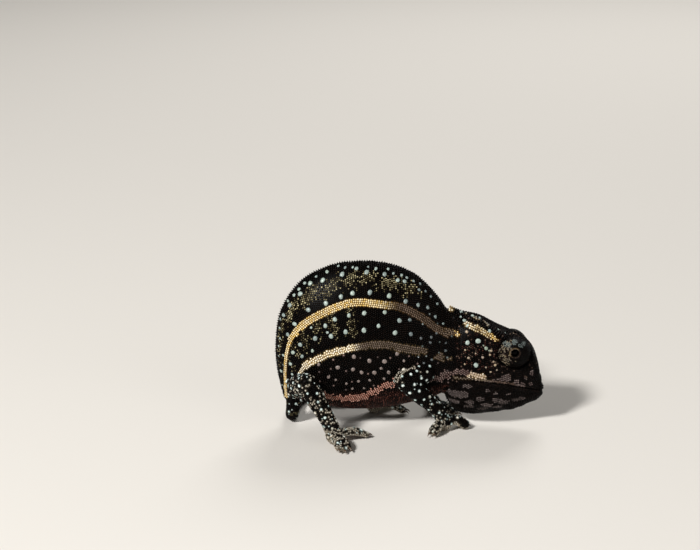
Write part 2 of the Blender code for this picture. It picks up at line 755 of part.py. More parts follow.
def toe_bundle(palm, tip, toes):
    """A mitten that arches from the palm to the floor, and the toes that come out of its end."""
    forward = np.array([tip[0] - palm[0], tip[1] - palm[1]])
    reach = np.linalg.norm(forward)
    forward = np.array([*(forward / reach), 0.0])
    aside = np.array([-forward[1], forward[0], 0.0])
    half_width = TOE_SPACING * (toes - 1) / 2 + TOE_RADIUS * MITTEN_SIDE

    def on_arch(share):
        """The bundle's middle line: straight out, and down to the floor along a rounded arch."""
        rest = SOLE_LEVEL + TOE_RADIUS
        height = rest + (palm[2] + ARCH_START - rest) * (1 - share**ARCH_POWER)
        height += ARCH_RISE * math.sin(math.pi * share) * share
        return palm * (1, 1, 0) + forward * reach * share + (0, 0, height)

    shares = np.linspace(0, MITTEN_REACH, 5)
    path = np.array([on_arch(share) for share in shares])
    widths = half_width * np.interp(shares, *MITTEN_TAPER)
    rings = tube_rings(path, widths, LEG_SIDES, flatten=MITTEN_THICKNESS / half_width)
    pieces = [loft("mitten", rings)]
    for k in range(toes):
        offset = (k - (toes - 1) / 2) * TOE_SPACING
        length = 1.0 - TOE_SHORTENING * abs(k - (toes - 1) / 2)
        toe_shares = np.linspace(TOE_ROOT, length, len(TOE_THICKNESS))
        line = [
            on_arch(share) + aside * offset * (TOE_SPREAD[0] + TOE_SPREAD[1] * share)
            for share in toe_shares
        ]
        ahead = forward + aside * offset * TOE_SPLAY
        knuckle = line[-1]
        for out, rise in CLAW_BEND:
            line.append(knuckle + ahead * CLAW_LENGTH * out + (0, 0, rise))
        thick = [TOE_RADIUS * share for share in TOE_THICKNESS]
        thick += [CLAW_RADIUS, CLAW_TIP_RADIUS]
        pieces.append(loft("toe", tube_rings(np.array(line), thick, TOE_SIDES)))
    return pieces


def tail_path():
    """The tail's middle line and the length up to each of its points: down from the root, then a
    spiral on the floor. Its reach from the spiral's centre shrinks with the angle, and starts
    further out by a sweep that dies away."""
    share = np.linspace(0, 1, 160)
    angle = TAIL_TURN_START - TAIL_TURN_ANGLE * share
    reach = TAIL_START_REACH + (TAIL_END_REACH - TAIL_START_REACH) * share**TAIL_REACH_POWER
    reach += TAIL_SWEEP_REACH * np.exp(-share * TAIL_TURN_ANGLE / TAIL_SWEEP_ANGLE)
    turn = np.column_stack(
        [
            TAIL_TURN_CENTRE[0] + reach * np.cos(angle),
            TAIL_TURN_CENTRE[1] + reach * np.sin(angle),
        ]
    )
    rest = TAIL_ROOT_RADIUS - TAIL_SINK
    drop = np.array(
        [
            TAIL_ROOT,
            (TAIL_ROOT[0], 0.05, TAIL_ROOT[2] - 0.7),
            (TAIL_ROOT[0] - 0.08, 0.45, rest + 0.75),
            (TAIL_ROOT[0] - 0.15, 1.25, rest + 0.22),
        ]
    )
    line = np.vstack([drop, np.column_stack([turn, np.full(len(turn), rest)])[3::6]])
    dense = catmull_rom(line, np.linspace(0, len(line) - 1, 600))
    along = np.concatenate([[0], np.cumsum(np.linalg.norm(np.diff(dense, axis=0), axis=1))])
    return dense, along


def tail_radius(share):
    return TAIL_TIP_RADIUS + (TAIL_ROOT_RADIUS - TAIL_TIP_RADIUS) * (1 - share) ** TAIL_TAPER_POWER


def build_tail(finish):
    """The tail in lengths, each laid on the floor with a narrow flat."""
    path, along = tail_path()
    share = along / along[-1]
    radius = tail_radius(share)
    on_floor = np.interp(share, TAIL_LANDING, (0, 1))
    path[:, 2] += on_floor * (radius - TAIL_ROOT_RADIUS)
    for k, (start, end) in enumerate(zip(TAIL_CUTS, TAIL_CUTS[1:])):
        first = start * along[-1] + (GAP if k else 0)
        count = max(4, round((end * along[-1] - first) / TAIL_RING_STEP) + 1)
        wanted = np.linspace(first, end * along[-1], count)
        line = np.column_stack([np.interp(wanted, along, path[:, c]) for c in range(3)])
        thick = np.interp(wanted, along, radius)
        if k == len(TAIL_CUTS) - 2:
            thick[-1] *= TAIL_TIP_TAPER
        rings = tube_rings(line, thick, TAIL_SIDES)
        rings[:, :, 2] = np.maximum(rings[:, :, 2], 0)
        loft(f"tail_{k + 1}", rings, finish)


def to_metres():
    for thing in bpy.data.objects:
        place = Matrix.Translation((0, MIDDLE_PLANE_Y * MILLIMETRE, 0))
        thing.data.transform(place @ Matrix.Scale(MILLIMETRE, 4))
        thing.data.shade_smooth()
        thing.data.set_sharp_from_angle(angle=math.radians(40))


def main():
    for thing in list(bpy.data.objects):
        bpy.data.objects.remove(thing)
    skin = material("granular black skin", (0.030, 0.024, 0.020), 0.55)
    dark_skin = material("turret skin", (0.060, 0.048, 0.036), 0.50)
    glass = material("eye", (0.010, 0.008, 0.006), 0.08)
    build_trunk(skin)
    build_head(skin)
    for side, word in ((-1, "right"), (1, "left")):
        build_eye(side, word, dark_skin, glass)
    space = loft("body space", trunk_rings(np.linspace(0, 10, 30), swell=GAP))
    hind = ("thigh", "shank", "hind_foot")
    fore = ("upper_arm", "forearm", "fore_foot")
    build_leg("right", HIND_RIGHT, HIND_RADII, hind, (3, 2), space, skin)
    build_leg("left", HIND_LEFT, HIND_RADII, hind, (3, 2), space, skin)
    build_leg("right", FORE_RIGHT, FORE_RADII, fore, (2, 3), space, skin)
    build_leg("left", FORE_LEFT, FORE_RADII, fore, (2, 3), space, skin)
    bpy.data.objects.remove(space)
    build_tail(skin)
    to_metres()


main()
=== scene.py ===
"""The looks of a young jewelled chameleon at life size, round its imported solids.

Shapes are worked out in millimetres about the animal's middle plane, +X to the snout and +Z up, and
turned to metres when a mesh is made. One skin is lofted from the named sizes of the solids, fused
and sculpted. Its scales, combs and jewels are small domes, spread evenly over that skin.
"""

import math

import bpy
import numpy as np
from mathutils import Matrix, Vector
from mathutils.bvhtree import BVHTree
from mathutils.kdtree import KDTree

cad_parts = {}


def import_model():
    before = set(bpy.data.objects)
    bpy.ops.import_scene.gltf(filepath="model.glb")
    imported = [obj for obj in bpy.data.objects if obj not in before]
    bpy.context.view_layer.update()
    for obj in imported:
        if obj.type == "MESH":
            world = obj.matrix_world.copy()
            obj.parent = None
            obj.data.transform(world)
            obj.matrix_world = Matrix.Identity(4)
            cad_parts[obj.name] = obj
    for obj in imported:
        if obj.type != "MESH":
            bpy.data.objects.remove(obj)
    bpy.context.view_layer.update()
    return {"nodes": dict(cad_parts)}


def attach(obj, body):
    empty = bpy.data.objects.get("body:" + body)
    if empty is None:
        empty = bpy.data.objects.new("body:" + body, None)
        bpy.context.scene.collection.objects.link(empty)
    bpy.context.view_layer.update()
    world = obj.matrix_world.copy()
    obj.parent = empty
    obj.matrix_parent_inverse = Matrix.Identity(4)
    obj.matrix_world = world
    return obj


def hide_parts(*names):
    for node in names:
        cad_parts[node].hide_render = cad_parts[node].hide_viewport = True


MILLIMETRE = 0.001
MIDDLE_PLANE_Y = -0.80

# The solids' own sizes, repeated. Station k of two lines is the two ends of one cross-section.
BACK_LINE = [
    (-15.75, 3.60), (-16.50, 7.20), (-16.70, 10.60), (-16.05, 15.00), (-13.60, 18.80), (-9.85, 20.90),
    (-6.00, 21.45), (-2.40, 21.10), (0.80, 19.75), (3.30, 17.30), (4.75, 15.25),
]
BELLY_LINE = [
    (-13.95, 3.55), (-12.75, 3.90), (-11.70, 3.30), (-10.30, 2.80), (-8.45, 2.35), (-6.50, 2.22),
    (-4.40, 2.30), (-2.30, 2.55), (-0.20, 2.95), (2.00, 3.55), (4.35, 4.30),
]
TRUNK_HALF_WIDTH = [0.90, 2.00, 2.90, 3.60, 4.05, 4.30, 4.40, 4.25, 3.90, 3.35, 2.80]
TRUNK_RIDGE = 1.18
TRUNK_BELLY_SHIFT = 0.26
HEAD_TOP = [
    (5.08, 15.75), (6.60, 15.10), (8.60, 14.65), (10.40, 13.75), (12.10, 12.75), (13.60, 12.30),
    (14.80, 11.45), (15.70, 10.00), (16.25, 8.30), (16.55, 6.60),
]
HEAD_THROAT = [
    (4.70, 3.75), (6.00, 2.15), (7.80, 1.72), (9.60, 1.77), (11.30, 2.02), (13.00, 2.45), (14.40, 3.05),
    (15.40, 3.65), (16.05, 4.10), (16.45, 4.65),
]
HEAD_HALF_WIDTHS = [  # at the side crest, the temple, the cheek and the throat
    [0.55, 1.25, 1.95, 2.35, 2.40, 2.20, 1.90, 1.55, 1.20, 0.80],
    [2.10, 2.80, 3.15, 3.10, 2.60, 2.20, 2.00, 1.75, 1.40, 0.95],
    [2.70, 3.20, 3.45, 3.40, 3.05, 2.65, 2.25, 1.80, 1.35, 0.90],
    [2.00, 2.35, 2.50, 2.45, 2.20, 1.85, 1.50, 1.15, 0.85, 0.55],
]
HEAD_DROPS = [0.0, 0.085, 0.36, 0.62, 0.87, 1.0]
LAST_STATION = 10.0
STATION_HALVINGS = 18
LAST_HEAD_STATION = 9.0
LAST_LEVEL = 5.0
SNOUT_TIP = [(16.66, 5.85, 0.78), (16.74, 5.80, 0.42)]
MOUTH_LINE = [
    (17.50, 4.60), (16.56, 4.88), (15.20, 5.35), (12.60, 6.12), (10.00, 6.64), (7.90, 6.86),
]
NOSTRIL = (15.55, 7.85)
SIDE_CREST = [(5.90, 14.05), (8.30, 13.35), (10.60, 12.20), (11.30, 11.85)]
SNOUT_CREST = [(14.75, 10.55), (15.80, 8.70)]
EYE_CENTRE = (13.15, 10.20)
EYE_ROOT_DEPTH = 0.85
LEFT_EYE_DROP = 0.22  # the head leans a little towards the camera
TURRET_LENGTHENING = 1.05
# The lids' profile, as the solid's down to the rim of the opening, which closes further here:
# radius, distance out and rise of each ring.
LID_PROFILE = [
    (1.10, 0.00, 0.00), (1.58, 0.40, 0.00), (1.84, 1.00, 0.00), (1.88, 1.45, 0.03), (1.68, 2.05, 0.12),
    (1.26, 2.55, 0.27), (0.86, 2.84, 0.37), (0.62, 2.93, 0.40), (0.50, 2.85, 0.40), (0.49, 2.58, 0.38),
    (0.62, 2.20, 0.36),
]
EYEBALL_RADIUS = 0.62
EYEBALL_OUT = 2.14
EYEBALL_RISE = 0.39
LEGS = {
    "hind_right": ((-14.20, -1.10, 5.40), (-12.75, -6.00, 7.45), (-9.62, -7.20, 2.15),
                   (-9.35, -7.40, 1.20), (-8.05, -11.00), (-5.20, -5.10)),
    "hind_left": ((-14.20, 1.10, 5.40), (-9.90, 5.70, 6.90), (-4.60, 4.70, 2.15),
                  (-4.25, 4.60, 1.20), (-2.00, 7.40), (-0.20, 3.70)),
    "fore_right": ((1.90, -3.10, 7.90), (-0.80, -5.30, 7.60), (4.20, -2.55, 2.30),
                   (4.50, -2.40, 1.20), (2.90, -5.20), (7.20, -1.30)),
    "fore_left": ((1.90, 3.10, 7.90), (-1.20, 5.25, 7.20), (3.10, 3.95, 2.25),
                  (3.45, 3.95, 1.20), (3.40, 7.10), (6.40, 3.10)),
}
LEG_RADII = {
    "hind": [[(0.0, 1.50), (0.5, 1.40), (1.0, 1.15)],
             [(0.0, 1.15), (0.4, 1.18), (0.75, 0.98), (1.0, 0.92)],
             [(0.0, 0.92), (1.0, 0.95)]],
    "fore": [[(0.0, 1.30), (0.5, 1.20), (1.0, 1.08)],
             [(0.0, 1.08), (0.4, 1.14), (0.75, 0.92), (1.0, 0.84)],
             [(0.0, 0.84), (1.0, 0.86)]],
}
TOES = {"hind": (3, 2), "fore": (2, 3)}
PALM_RADIUS = 1.05
TOE_SPACING = 0.62
TOE_RADIUS = 0.38
CLAW_RADIUS = 0.17
CLAW_LENGTH = 0.62
MITTEN_THICKNESS = 0.50
MITTEN_REACH = 0.78
TOE_ROOT = 0.45
ARCH_RISE = 0.42
SOLE_LEVEL = -0.06
LIMB_RINGS = 14
LIMB_TIP_RADIUS = 0.03
TUBE_SIDES = 28
TOE_SIDES = 16
CLAW_SIDES = 10
# Widths along a mitten and thicknesses along a toe: shares of the length, and of the full size.
MITTEN_SHAPE = ([0, 0.4, MITTEN_REACH - 0.06, MITTEN_REACH], [0.85, 1.0, 0.95, 0.7])
TOE_SHAPE = ([0, 0.35, 0.7, 0.9, 1.0], [0.80, 0.93, 1.0, 0.92, 0.72])
TAIL_ROOT = (-14.62, 0.0, 3.28)
TAIL_TURN_CENTRE = (-8.90, 9.50)
TAIL_TURN_START = math.radians(232)
TAIL_TURN_ANGLE = math.radians(720)
TAIL_START_REACH = 3.60
TAIL_END_REACH = 0.95
TAIL_SWEEP_REACH = 5.9
TAIL_SWEEP_ANGLE = math.radians(31)
TAIL_ROOT_RADIUS = 0.86
TAIL_TIP_RADIUS = 0.26
TAIL_SINK = 0.05

# Numbers of the parts that a place can belong to.
TRUNK, HEAD, TAIL = 0, 1, 6
LEG_PARTS = {2: "hind_right", 3: "hind_left", 4: "fore_right", 5: "fore_left"}
HIND_PARTS = (2, 3)
HEAD_STARTS = ([3, 5, 7.9, 12, 16], [4.4, 4.8, 5.9, 5.8, 5.1])  # heights, and X there
# How far outside their middles' radius the parts reach, and from where a place is off the trunk.
LEG_REACH = 0.22
TAIL_REACH = 0.2
TAIL_TOP = 3.5
ANKLE_REACH = 1.0
TOE_REACH = 0.85
TOE_STROKE_HEIGHT = 0.35
BEYOND_OUTLINE = 0.12
BEYOND_FLANK = 0.10

# What is sculpted into the skin: each form's height, below 0 where it goes in, and its width.
RELIEF = {
    "mouth": (-0.26, 0.15),
    "lip": (0.10, 0.20),
    "side_crest": (0.20, 0.26),
    "snout_crest": (0.12, 0.24),
    "neck_fold": (-0.30, 0.30),
    "snout_front": (0.06, 1.0),
    "brow": (0.14, 0.8),
    "temple": (-0.22, 1.0),
    "nostril_rim": (0.07, 0.16),
    "nostril": (-0.40, 0.20),
    "socket_rim": (0.15, 0.22),
    "socket": (-0.40, 0.16),
}
LIP_FROM_MOUTH = 0.38
SNOUT_FILL = 0.34
SNOUT_UPPER_FILL = 0.24
THROAT_FILL = 0.26
CHIN_FILL = 0.30
THROAT_FOLD_HEIGHT = 0.05
THROAT_FOLD_SPACING = 0.86
SNOUT_FRONT = (15.3, 10.8)
BROW = (12.1, 12.9)
TEMPLE = (9.3, 11.0, 2.0, 1.2)
NOSTRIL_RIM_RADIUS = 0.38
SOCKET_RIM_RADIUS = 2.35
SOCKET_RADIUS = 1.95
SOCKET_DEPTH = 0.9
HEAD_FOLDS_START = (4.6, 5.6)
MOUTH_STARTS = (7.5, 8.5)
SKIN_CLEARANCE = 0.02  # above the floor

# The skin and its scales.
VOXEL = 0.16
COAT_DEPTH = 0.05  # how far the skin lies inside the solids
PITCH = {"trunk": 0.265, "head": 0.25, "leg": 0.215, "tail": 0.22}
SCALE_HEIGHT = 0.42  # of the spacing, as the next
SCALE_RADIUS = 0.545
PATCH = 0.003  # each scale's share of its unwrap
STRIPE_ROWS = 4
STRIPE_ROW_GAP = 0.205
STRIPE_SMOOTHING = 60  # pieces of a stripe's smooth middle line
ROW_GAP = 0.866  # between rows of scales, as a share of the pitch
WANTED_GAP = 1.35  # pitches that scales are pushed apart to
PUSH = 0.075
TAIL_SCALES_ROUND = 24
HELMET_EDGE = ([5, 11.3, 14.7, 17], [14.3, 11.9, 10.6, 8.0])  # X, and the height there
SCALE_WAY = np.array((0.30, 0.02, 1.0))
COMB_SINK = 0.06
FIRST_COMB_STATION = 0.7
LAST_COMB_STATION = 9.9
# Cones of the combs: how far apart (the ridge's in stations), radius, height, and the least and most
# of the height that is drawn for each.
CONES = {
    "back": (0.31, 0.16, 0.31, 0.75, 1.1),
    "chin": (0.30, 0.15, 0.26, 0.7, 1.1),
    "ridge": (0.17, 0.16, 0.14, 0.8, 1.2),
    "side_crest": (0.33, 0.20, 0.24, 0.8, 1.1),
    "snout_crest": (0.34, 0.20, 0.24, 0.8, 1.1),
}
LIP_WAY = np.array((1.0, 0.0, -0.25))
LIP_SCALE_SIZE = (0.20, 0.15, 0.08)  # half length, half width, height
LIP_SCALE_GAP = 0.36
LIP_ROW_SHIFT = 0.27
LID_RING_GAP = 0.165
LID_SCALE_GAP = 0.185
LID_SCALE_RADII = (0.080, 0.092)  # on the rim, and elsewhere
LID_SCALE_HEIGHT = 0.075
JEWEL_MARGIN = 0.03
SOCKET_BARE_RADIUS = 1.55
DOT_SWELL = (1.65, 0.65)  # the least, and what each scale's own number adds
DOT_COVER = 0.95
DOT_RISE = 1.4
SPECK_SWELL = 1.25
STRIPE_SWELL = 1.04
TRUNK_DOT_FROM_JEWEL = 0.78
TRUNK_DOT_GAP = 1.25
LEG_DOT_GAP = 0.92
TAIL_DOT_GAP = 1.35

# The camera looks along +Y and a little down, at the point that the photograph's middle shows.
CAMERA_ELEVATION = 15.0
CAMERA_DISTANCE = 250.0
CAMERA_SENSOR = 36.0
PIXEL = 0.125  # millimetres at the animal's middle plane
PHOTO_WIDTH = 700
MIDDLE_PIXEL = (350, 275)
ORIGIN_PIXEL = (409, 427)  # where X = 0 and Z = 0 of the middle plane are
CAMERA_LENS = CAMERA_SENSOR * CAMERA_DISTANCE / (PHOTO_WIDTH * PIXEL)
CAMERA_TARGET = (
    (MIDDLE_PIXEL[0] - ORIGIN_PIXEL[0]) * PIXEL,
    0.0,
    (ORIGIN_PIXEL[1] - MIDDLE_PIXEL[1]) * PIXEL / math.cos(math.radians(CAMERA_ELEVATION)),
)

# The three stripes' middles, in the photograph's pixels.
STRIPE_PIXELS = {
    "gold": [
        (286.4, 397), (285.8, 386), (285.2, 372), (286.3, 355), (290.7, 340.3), (302.6, 325.2),
        (320.2, 314.6), (337.7, 306.7), (356.5, 302.4), (380.4, 304.5), (401.7, 307.5), (422.2, 317.7),
        (434.6, 327), (444.9, 332.1), (459, 335),
    ],
    "cream": [
        (300.1, 372.9), (303.2, 368.5), (310.1, 362.9), (328.9, 354.1), (347.8, 349.1), (365.3, 346.1),
        (376.6, 344.9), (389.1, 345.3), (402, 348.2), (414, 350.2), (424.3, 351.7),
    ],
    "rose": [
        (325.5, 395.9), (339.9, 398.2), (352.3, 397.8), (364.6, 395.9), (372.9, 391.8), (381.1, 387.7),
        (393.4, 383), (410, 380), (426.3, 379.5), (440.7, 378.4), (452, 373),
    ],
}
# Half of each stripe's width, to the middles of its outer scales, by the share along it.
STRIPE_HALF_WIDTHS = {
    "gold": ([0, 0.25, 0.36, 1], [0.20, 0.24, 0.42, 0.40]),
    "cream": ([0, 0.2, 1], [0.26, 0.42, 0.40]),
    "rose": ([0, 0.15, 0.6, 1], [0.42, 0.50, 0.46, 0.34]),
}
GOLD_DUST = [
    (1.2, 40), (2.98, 32.5), (3.80, 37.5), (4.48, 40.5), (5.14, 37), (5.79, 33), (6.81, 36.5), (7.94, 38),
]
DUST_COLUMNS = [2.35, 2.95, 3.55, 4.15, 4.75, 5.45]  # stations of faint upright bands
CREAM_BLOTCH = (9.64, 0.52)  # station, and share of the way down
BLOTCH_RADIUS = 0.50
STATION_LENGTH = 1.7  # at the blotch
ROUGHNESS = 0.16  # of the markings' edges
STRIPE_RAGGEDNESS = {"gold": 0, "cream": 0.5, "rose": 2.6}
# How a stripe's colour changes: stripe, marking, its share behind, the change, and X of both ends. The
# gold and cream stripes' dulling to taupe towards the head is painted shadow.
STRIPE_FADES_AND_PAINTED_SHADE = [
    ("gold", "taupe_and_painted_shade", 0, 0.97, -4.4, -1.3),
    ("cream", "taupe_and_painted_shade", 0, 0.95, -7.4, -5.8),
    ("rose", "grey", 1, 0, 0, 1),
    ("rose", "rose", 1, -0.86, -0.4, 1.4),
]
# What each scale's own number is multiplied by to draw it again for a purpose.
REDRAWS = {
    "dust": 17.9, "cheek": 53.1, "pale": 37.7, "granules": 91.3, "shade": 12.9, "painted_elbow_highlight": 61.7,
}
CASQUE_TIP = (5.35, 15.45)
CASQUE_TIP_RADIUS = 0.42
PARIETAL_LINE = [(7.3, 14.72), (8.6, 14.25), (10.0, 13.50)]

# Jewels on the right flank: across and down in the photograph's pixels, then their length and height.
BLUE_JEWELS = [
    (338.3, 265.6, 3.5, 2.5), (345.2, 267.3, 3.5, 2.8), (352.8, 267, 3.2, 2.5), (356.5, 268.4, 5, 4),
    (368.2, 266.6, 3.2, 2.5), (376, 268.5, 4.2, 3.5), (388.3, 268.8, 3.6, 3), (393.5, 273.2, 3.2, 2.8),
    (401.7, 275, 3.6, 3.4), (407, 277.5, 3.4, 3), (327, 271.6, 4.2, 4), (316, 276.4, 3, 3),
    (304.5, 282.9, 3.6, 4), (298.8, 289, 4, 4), (293.8, 294.9, 3.8, 4.6), (287.8, 300.8, 3.6, 4.4),
    (280.2, 319, 3, 4.8), (279.6, 328, 3, 5.4), (279.9, 338.4, 3, 4), (278.6, 346, 2.6, 4.6),
    (278.8, 356, 2.6, 4.6), (289.6, 305.2, 4.8, 6), (283.4, 315, 4.4, 5.8), (300.1, 293.7, 5.6, 5.8),
    (310.1, 283.2, 5.2, 5.4), (322.7, 280.1, 6.2, 5), (342.1, 274.2, 7, 4.6), (366.6, 272.2, 7, 4.4),
    (384.7, 274.2, 5.8, 4.4), (397.9, 280.1, 5, 4.2), (404.8, 281.3, 4.6, 4.4), (287.6, 334.6, 4, 5.4),
    (294.5, 324, 4.6, 5.6), (308.2, 309.8, 5.2, 5.4), (325.8, 303.3, 5.4, 5), (340.9, 296.7, 5.6, 4.6),
    (352.5, 293.2, 5.8, 4.8), (369.9, 292.4, 6, 5.2), (389.2, 295.9, 5.6, 5.2), (405.7, 301.4, 5.2, 5),
    (418.3, 305, 4.4, 4.4), (428, 307.5, 4, 4), (435.6, 316.7, 3.8, 3.8), (437.7, 303.6, 3.4, 3.6),
    (431.1, 296.4, 3.4, 3.4), (425.8, 291, 3, 3), (419.3, 289.8, 3.4, 3.4), (420.4, 283.6, 3, 3),
    (413.8, 280.9, 3.2, 3), (443.5, 323.5, 3, 3), (334.8, 319.4, 5, 4.8), (325.3, 325.9, 5, 4.6),
    (348.9, 315.5, 4.6, 4.2), (364.2, 313.2, 5.6, 4.8), (384.8, 312.3, 4.6, 4.2), (399.6, 320.6, 5.4, 5),
    (409.9, 319.8, 4, 4), (345.6, 332, 5.2, 5), (363.9, 330.4, 5.8, 5), (378.6, 326, 4.6, 4.4),
    (395.1, 332.8, 5.4, 5.2), (411, 334.2, 4.6, 4.6), (315.1, 338.5, 5.2, 5.4), (331, 336.3, 5.4, 5),
    (327.4, 332.6, 2.8, 3.4), (300.1, 344.8, 4.6, 5), (292.8, 352.6, 4.4, 5), (302, 356.4, 4.2, 4),
    (312.4, 350.9, 4, 3.6), (290.3, 364.1, 3.8, 5), (281, 371, 4, 5.6), (283, 355.3, 2.8, 4.4),
    (292, 374.4, 3.2, 3.4), (311.1, 327.7, 3, 2.8), (421.2, 338.3, 3.4, 3.4), (431.5, 337.3, 3.2, 3.2),
    (430.5, 342.6, 3, 3), (436.8, 333.2, 2.8, 2.8), (432, 359.9, 3, 3), (450.4, 350.8, 3, 4.6),
    (424, 363, 2.8, 2.8), (446, 343, 2.6, 2.6), (418.5, 357, 2.6, 2.6),
]
ROSE_JEWELS = [
    (353.9, 356.9, 4.8, 4.8), (369.4, 361, 5, 4.8), (384.6, 361.6, 5.4, 5.2), (397.2, 354, 4.6, 4),
    (353, 369.6, 4.4, 4.4), (361.6, 372.6, 4.6, 4.2), (374.4, 372.8, 5.2, 5), (388.8, 372.6, 4.4, 4.4),
    (337.7, 367.7, 4.8, 4.8), (318.7, 364.6, 4, 3.6), (328.6, 377, 5.4, 3.4), (358.5, 381.5, 3.4, 3.2),
    (369.8, 380.5, 3.2, 3.2), (384.2, 379, 3.2, 3.2), (352.3, 388.9, 3.4, 3), (346.4, 384, 3, 3),
    (335.8, 380, 3.2, 3), (381.1, 368.6, 3.4, 3.4), (404, 361, 3.2, 3.2), (364, 388.4, 2.8, 2.8),
]
FAR_SIDE_SHIFT = (0.17, 2.5)  # stations and degrees, so that the two flanks aren't twins

# Markings on the head, in side view: (X, Z, half length, half height), and spots (X, Z, width).
THROAT_PATCHES = [
    (6.25, 4.95, 1.50, 0.58), (5.81, 3.72, 0.69, 0.39), (7.69, 3.85, 0.69, 0.39),
    (7.62, 3.14, 0.75, 0.32), (9.00, 4.30, 0.62, 0.32), (11.12, 4.11, 0.62, 0.39),
    (9.81, 3.43, 0.81, 0.29), (11.94, 3.72, 0.81, 0.34), (13.81, 3.92, 0.94, 0.30),
    (7.31, 6.12, 0.69, 0.30), (9.88, 5.60, 0.30, 0.30), (10.88, 5.15, 0.50, 0.16),
    (12.50, 4.89, 0.40, 0.16), (9.3, 2.75, 0.7, 0.25), (11.3, 2.95, 0.7, 0.25),
]
LIP_PATCHES = [
    (10.60, 6.85, 1.20, 0.16), (12.06, 7.00, 0.69, 0.60), (13.44, 6.35, 0.46, 0.48),
    (14.31, 6.05, 0.40, 0.36), (15.38, 5.92, 0.34, 0.28), (15.45, 7.35, 0.26, 0.30),
    (14.75, 6.90, 0.22, 0.20),
]
LIP_CREAM = (8.45, 7.52, 1.25, 0.34)
CHEEK = (8.4, 10.3, 2.6, 2.2)
LID_PATCHES = [  # from the eye's middle
    (-0.98, 1.36, 0.46, 0.26), (-0.06, 1.62, 0.36, 0.22), (0.88, 1.30, 0.46, 0.24),
]
# The way towards the light: elbow scales that face it are painted pale, a painted highlight.
ELBOW_LIGHT_WAY = (-0.80, 0, 0.60)
LIP_BEADS = [(7.75, 7.95), (9.75, 7.42), (7.95, 7.62), (9.45, 7.18)]  # the ends of two rows
LIP_BEAD_SIZE = 0.31
HEAD_GOLD_LINE = [
    (7.15, 13.72), (8.10, 13.45), (9.00, 13.07), (9.88, 12.60), (10.65, 12.10), (11.08, 11.95),
]
LINE_HALF_WIDTH = 0.36  # of the neck's two lines, and of the finer scales along the head's
HEAD_LINE_HALF_WIDTHS = ([0, 0.15, 0.7, 1], [0.26, 0.37, 0.28, 0.13])
HEAD_LINE_PITCH = 0.27
HEAD_LINE_SHIFTS = (-0.23, 0.0, 0.23)
NECK_ROSE_LINE = [(3.88, 6.78), (4.88, 7.30), (6.00, 8.00), (7.00, 8.00), (7.62, 7.60)]
HEAD_JEWELS = [
    (7.30, 11.58, 0.70), (8.62, 11.81, 0.80), (8.35, 8.90, 0.72), (10.06, 13.00, 0.56),
    (6.60, 14.92, 0.50), (6.50, 14.45, 0.40), (6.95, 14.10, 0.58), (7.30, 13.62, 0.60),
    (8.00, 14.52, 0.50), (8.90, 14.25, 0.46), (11.20, 12.92, 0.40), (12.05, 12.50, 0.30),
]
OLIVE_SPOTS = [(9.62, 10.91, 0.58), (10.02, 10.62, 0.30), (9.30, 11.25, 0.28)]
TAN_SPOTS = [
    (7.21, 12.86, 0.46), (7.42, 9.77, 0.40), (9.19, 9.83, 0.42), (10.25, 10.61, 0.40),
    (10.75, 8.80, 0.46), (10.55, 9.25, 0.34), (13.20, 12.20, 0.28), (5.45, 15.50, 0.60),
    (10.1, 10.1, 0.30), (7.00, 10.70, 0.28), (6.95, 9.00, 0.28), (8.30, 10.30, 0.26), (9.60, 8.60, 0.30),
    (10.20, 8.00, 0.34), (11.00, 8.15, 0.30),
]
NECK_GOLD = [(4.30, 12.92), (6.02, 12.46)]
NECK_FOLD = [(5.15, 15.30), (5.85, 12.60), (6.00, 9.30), (5.65, 7.60), (4.80, 5.20)]

# Each marking's colours: the colour in the grooves, and two between which its crowns vary. The grooves'
# darker colour is partly painted shade between the scales, and the crowns' lighter colours are partly
# painted highlights.
MARKS = {
    "dust": ("#070503", "#76633a", "#d5c89a"),
    "plum": ("#0b0504", "#42201a", "#74483d"),
    "grey": ("#1c1614", "#534947", "#776c68"),
    "rose": ("#34180f", "#a96e5b", "#d3a18f"),
    "cream": ("#8f7548", "#f0deb6", "#fffaea"),
    "gold": ("#6e4b14", "#deba66", "#fff1ca"),
    "taupe_and_painted_shade": ("#120c09", "#45362d", "#69564a"),
    "pale": ("#3d4744", "#acbeb8", "#e8f2ec"),
    "sole": ("#6e6556", "#aba08d", "#d8d0c0"),
}
# The dark skin's colours: its brown crowns are partly painted glints.
GROUND = ("#000000", "#050302", "#160e0a")
# Jewel tones from 0 to 1. The dark ones below about 0.35 are painted shadow, on the blue jewels towards
# the head.
JEWEL_TONES = [
    (0.0, "#424143"), (0.25, "#667171"), (0.55, "#9ba89f"), (0.70, "#828d7b"),
    (0.78, "#776a64"), (0.88, "#83756e"), (0.95, "#a48f72"), (1.0, "#b9a592"),
]
EYE_RINGS = [(0.66, "#010101"), (0.80, "#040302")]  # shares of the ball's radius
CLAW_COLOURS = ("#1d1511", "#6d5a45", "#4a382a")  # root, tip and veins
FLOOR_COLOUR = "#d9d4cc"
SKY_COLOUR = "#efeeec"

# The cells of the materials' patterns.
CLOUD_SIZE = 1.6
SKIN_GRAIN = 0.07
JEWEL_MOTTLE = 0.16
HORN_GRAIN = 0.12

FLOOR_SIZE = 6000.0
LIT_PLACE = (-2.0, MIDDLE_PLANE_Y, 11.0)
LIGHTS = [  # name, place, watts and width
    ("key", (-300, -412, 375), 5.3, 90),
    ("fill", (375, -400, 225), 0.44, 300),
    ("rim", (120, 430, 375), 1.5, 260),
]

rng = np.random.default_rng(11)


# Curves and surfaces

def unit(ways):
    """A table of ways, each made 1 long."""
    return ways / np.linalg.norm(ways, axis=1, keepdims=True)


def full_turn(count):
    """Angles evenly round a full turn."""
    return np.linspace(0, 2 * np.pi, count, endpoint=False)


def cubic(before, start, end, after, t):
    """The Catmull-Rom cubic between start and end, where t runs from 0 to 1."""
    return 0.5 * (
        2 * start
        + (end - before) * t
        + (2 * before - 5 * start + 4 * end - after) * t**2
        + (3 * start - before - 3 * end + after) * t**3
    )


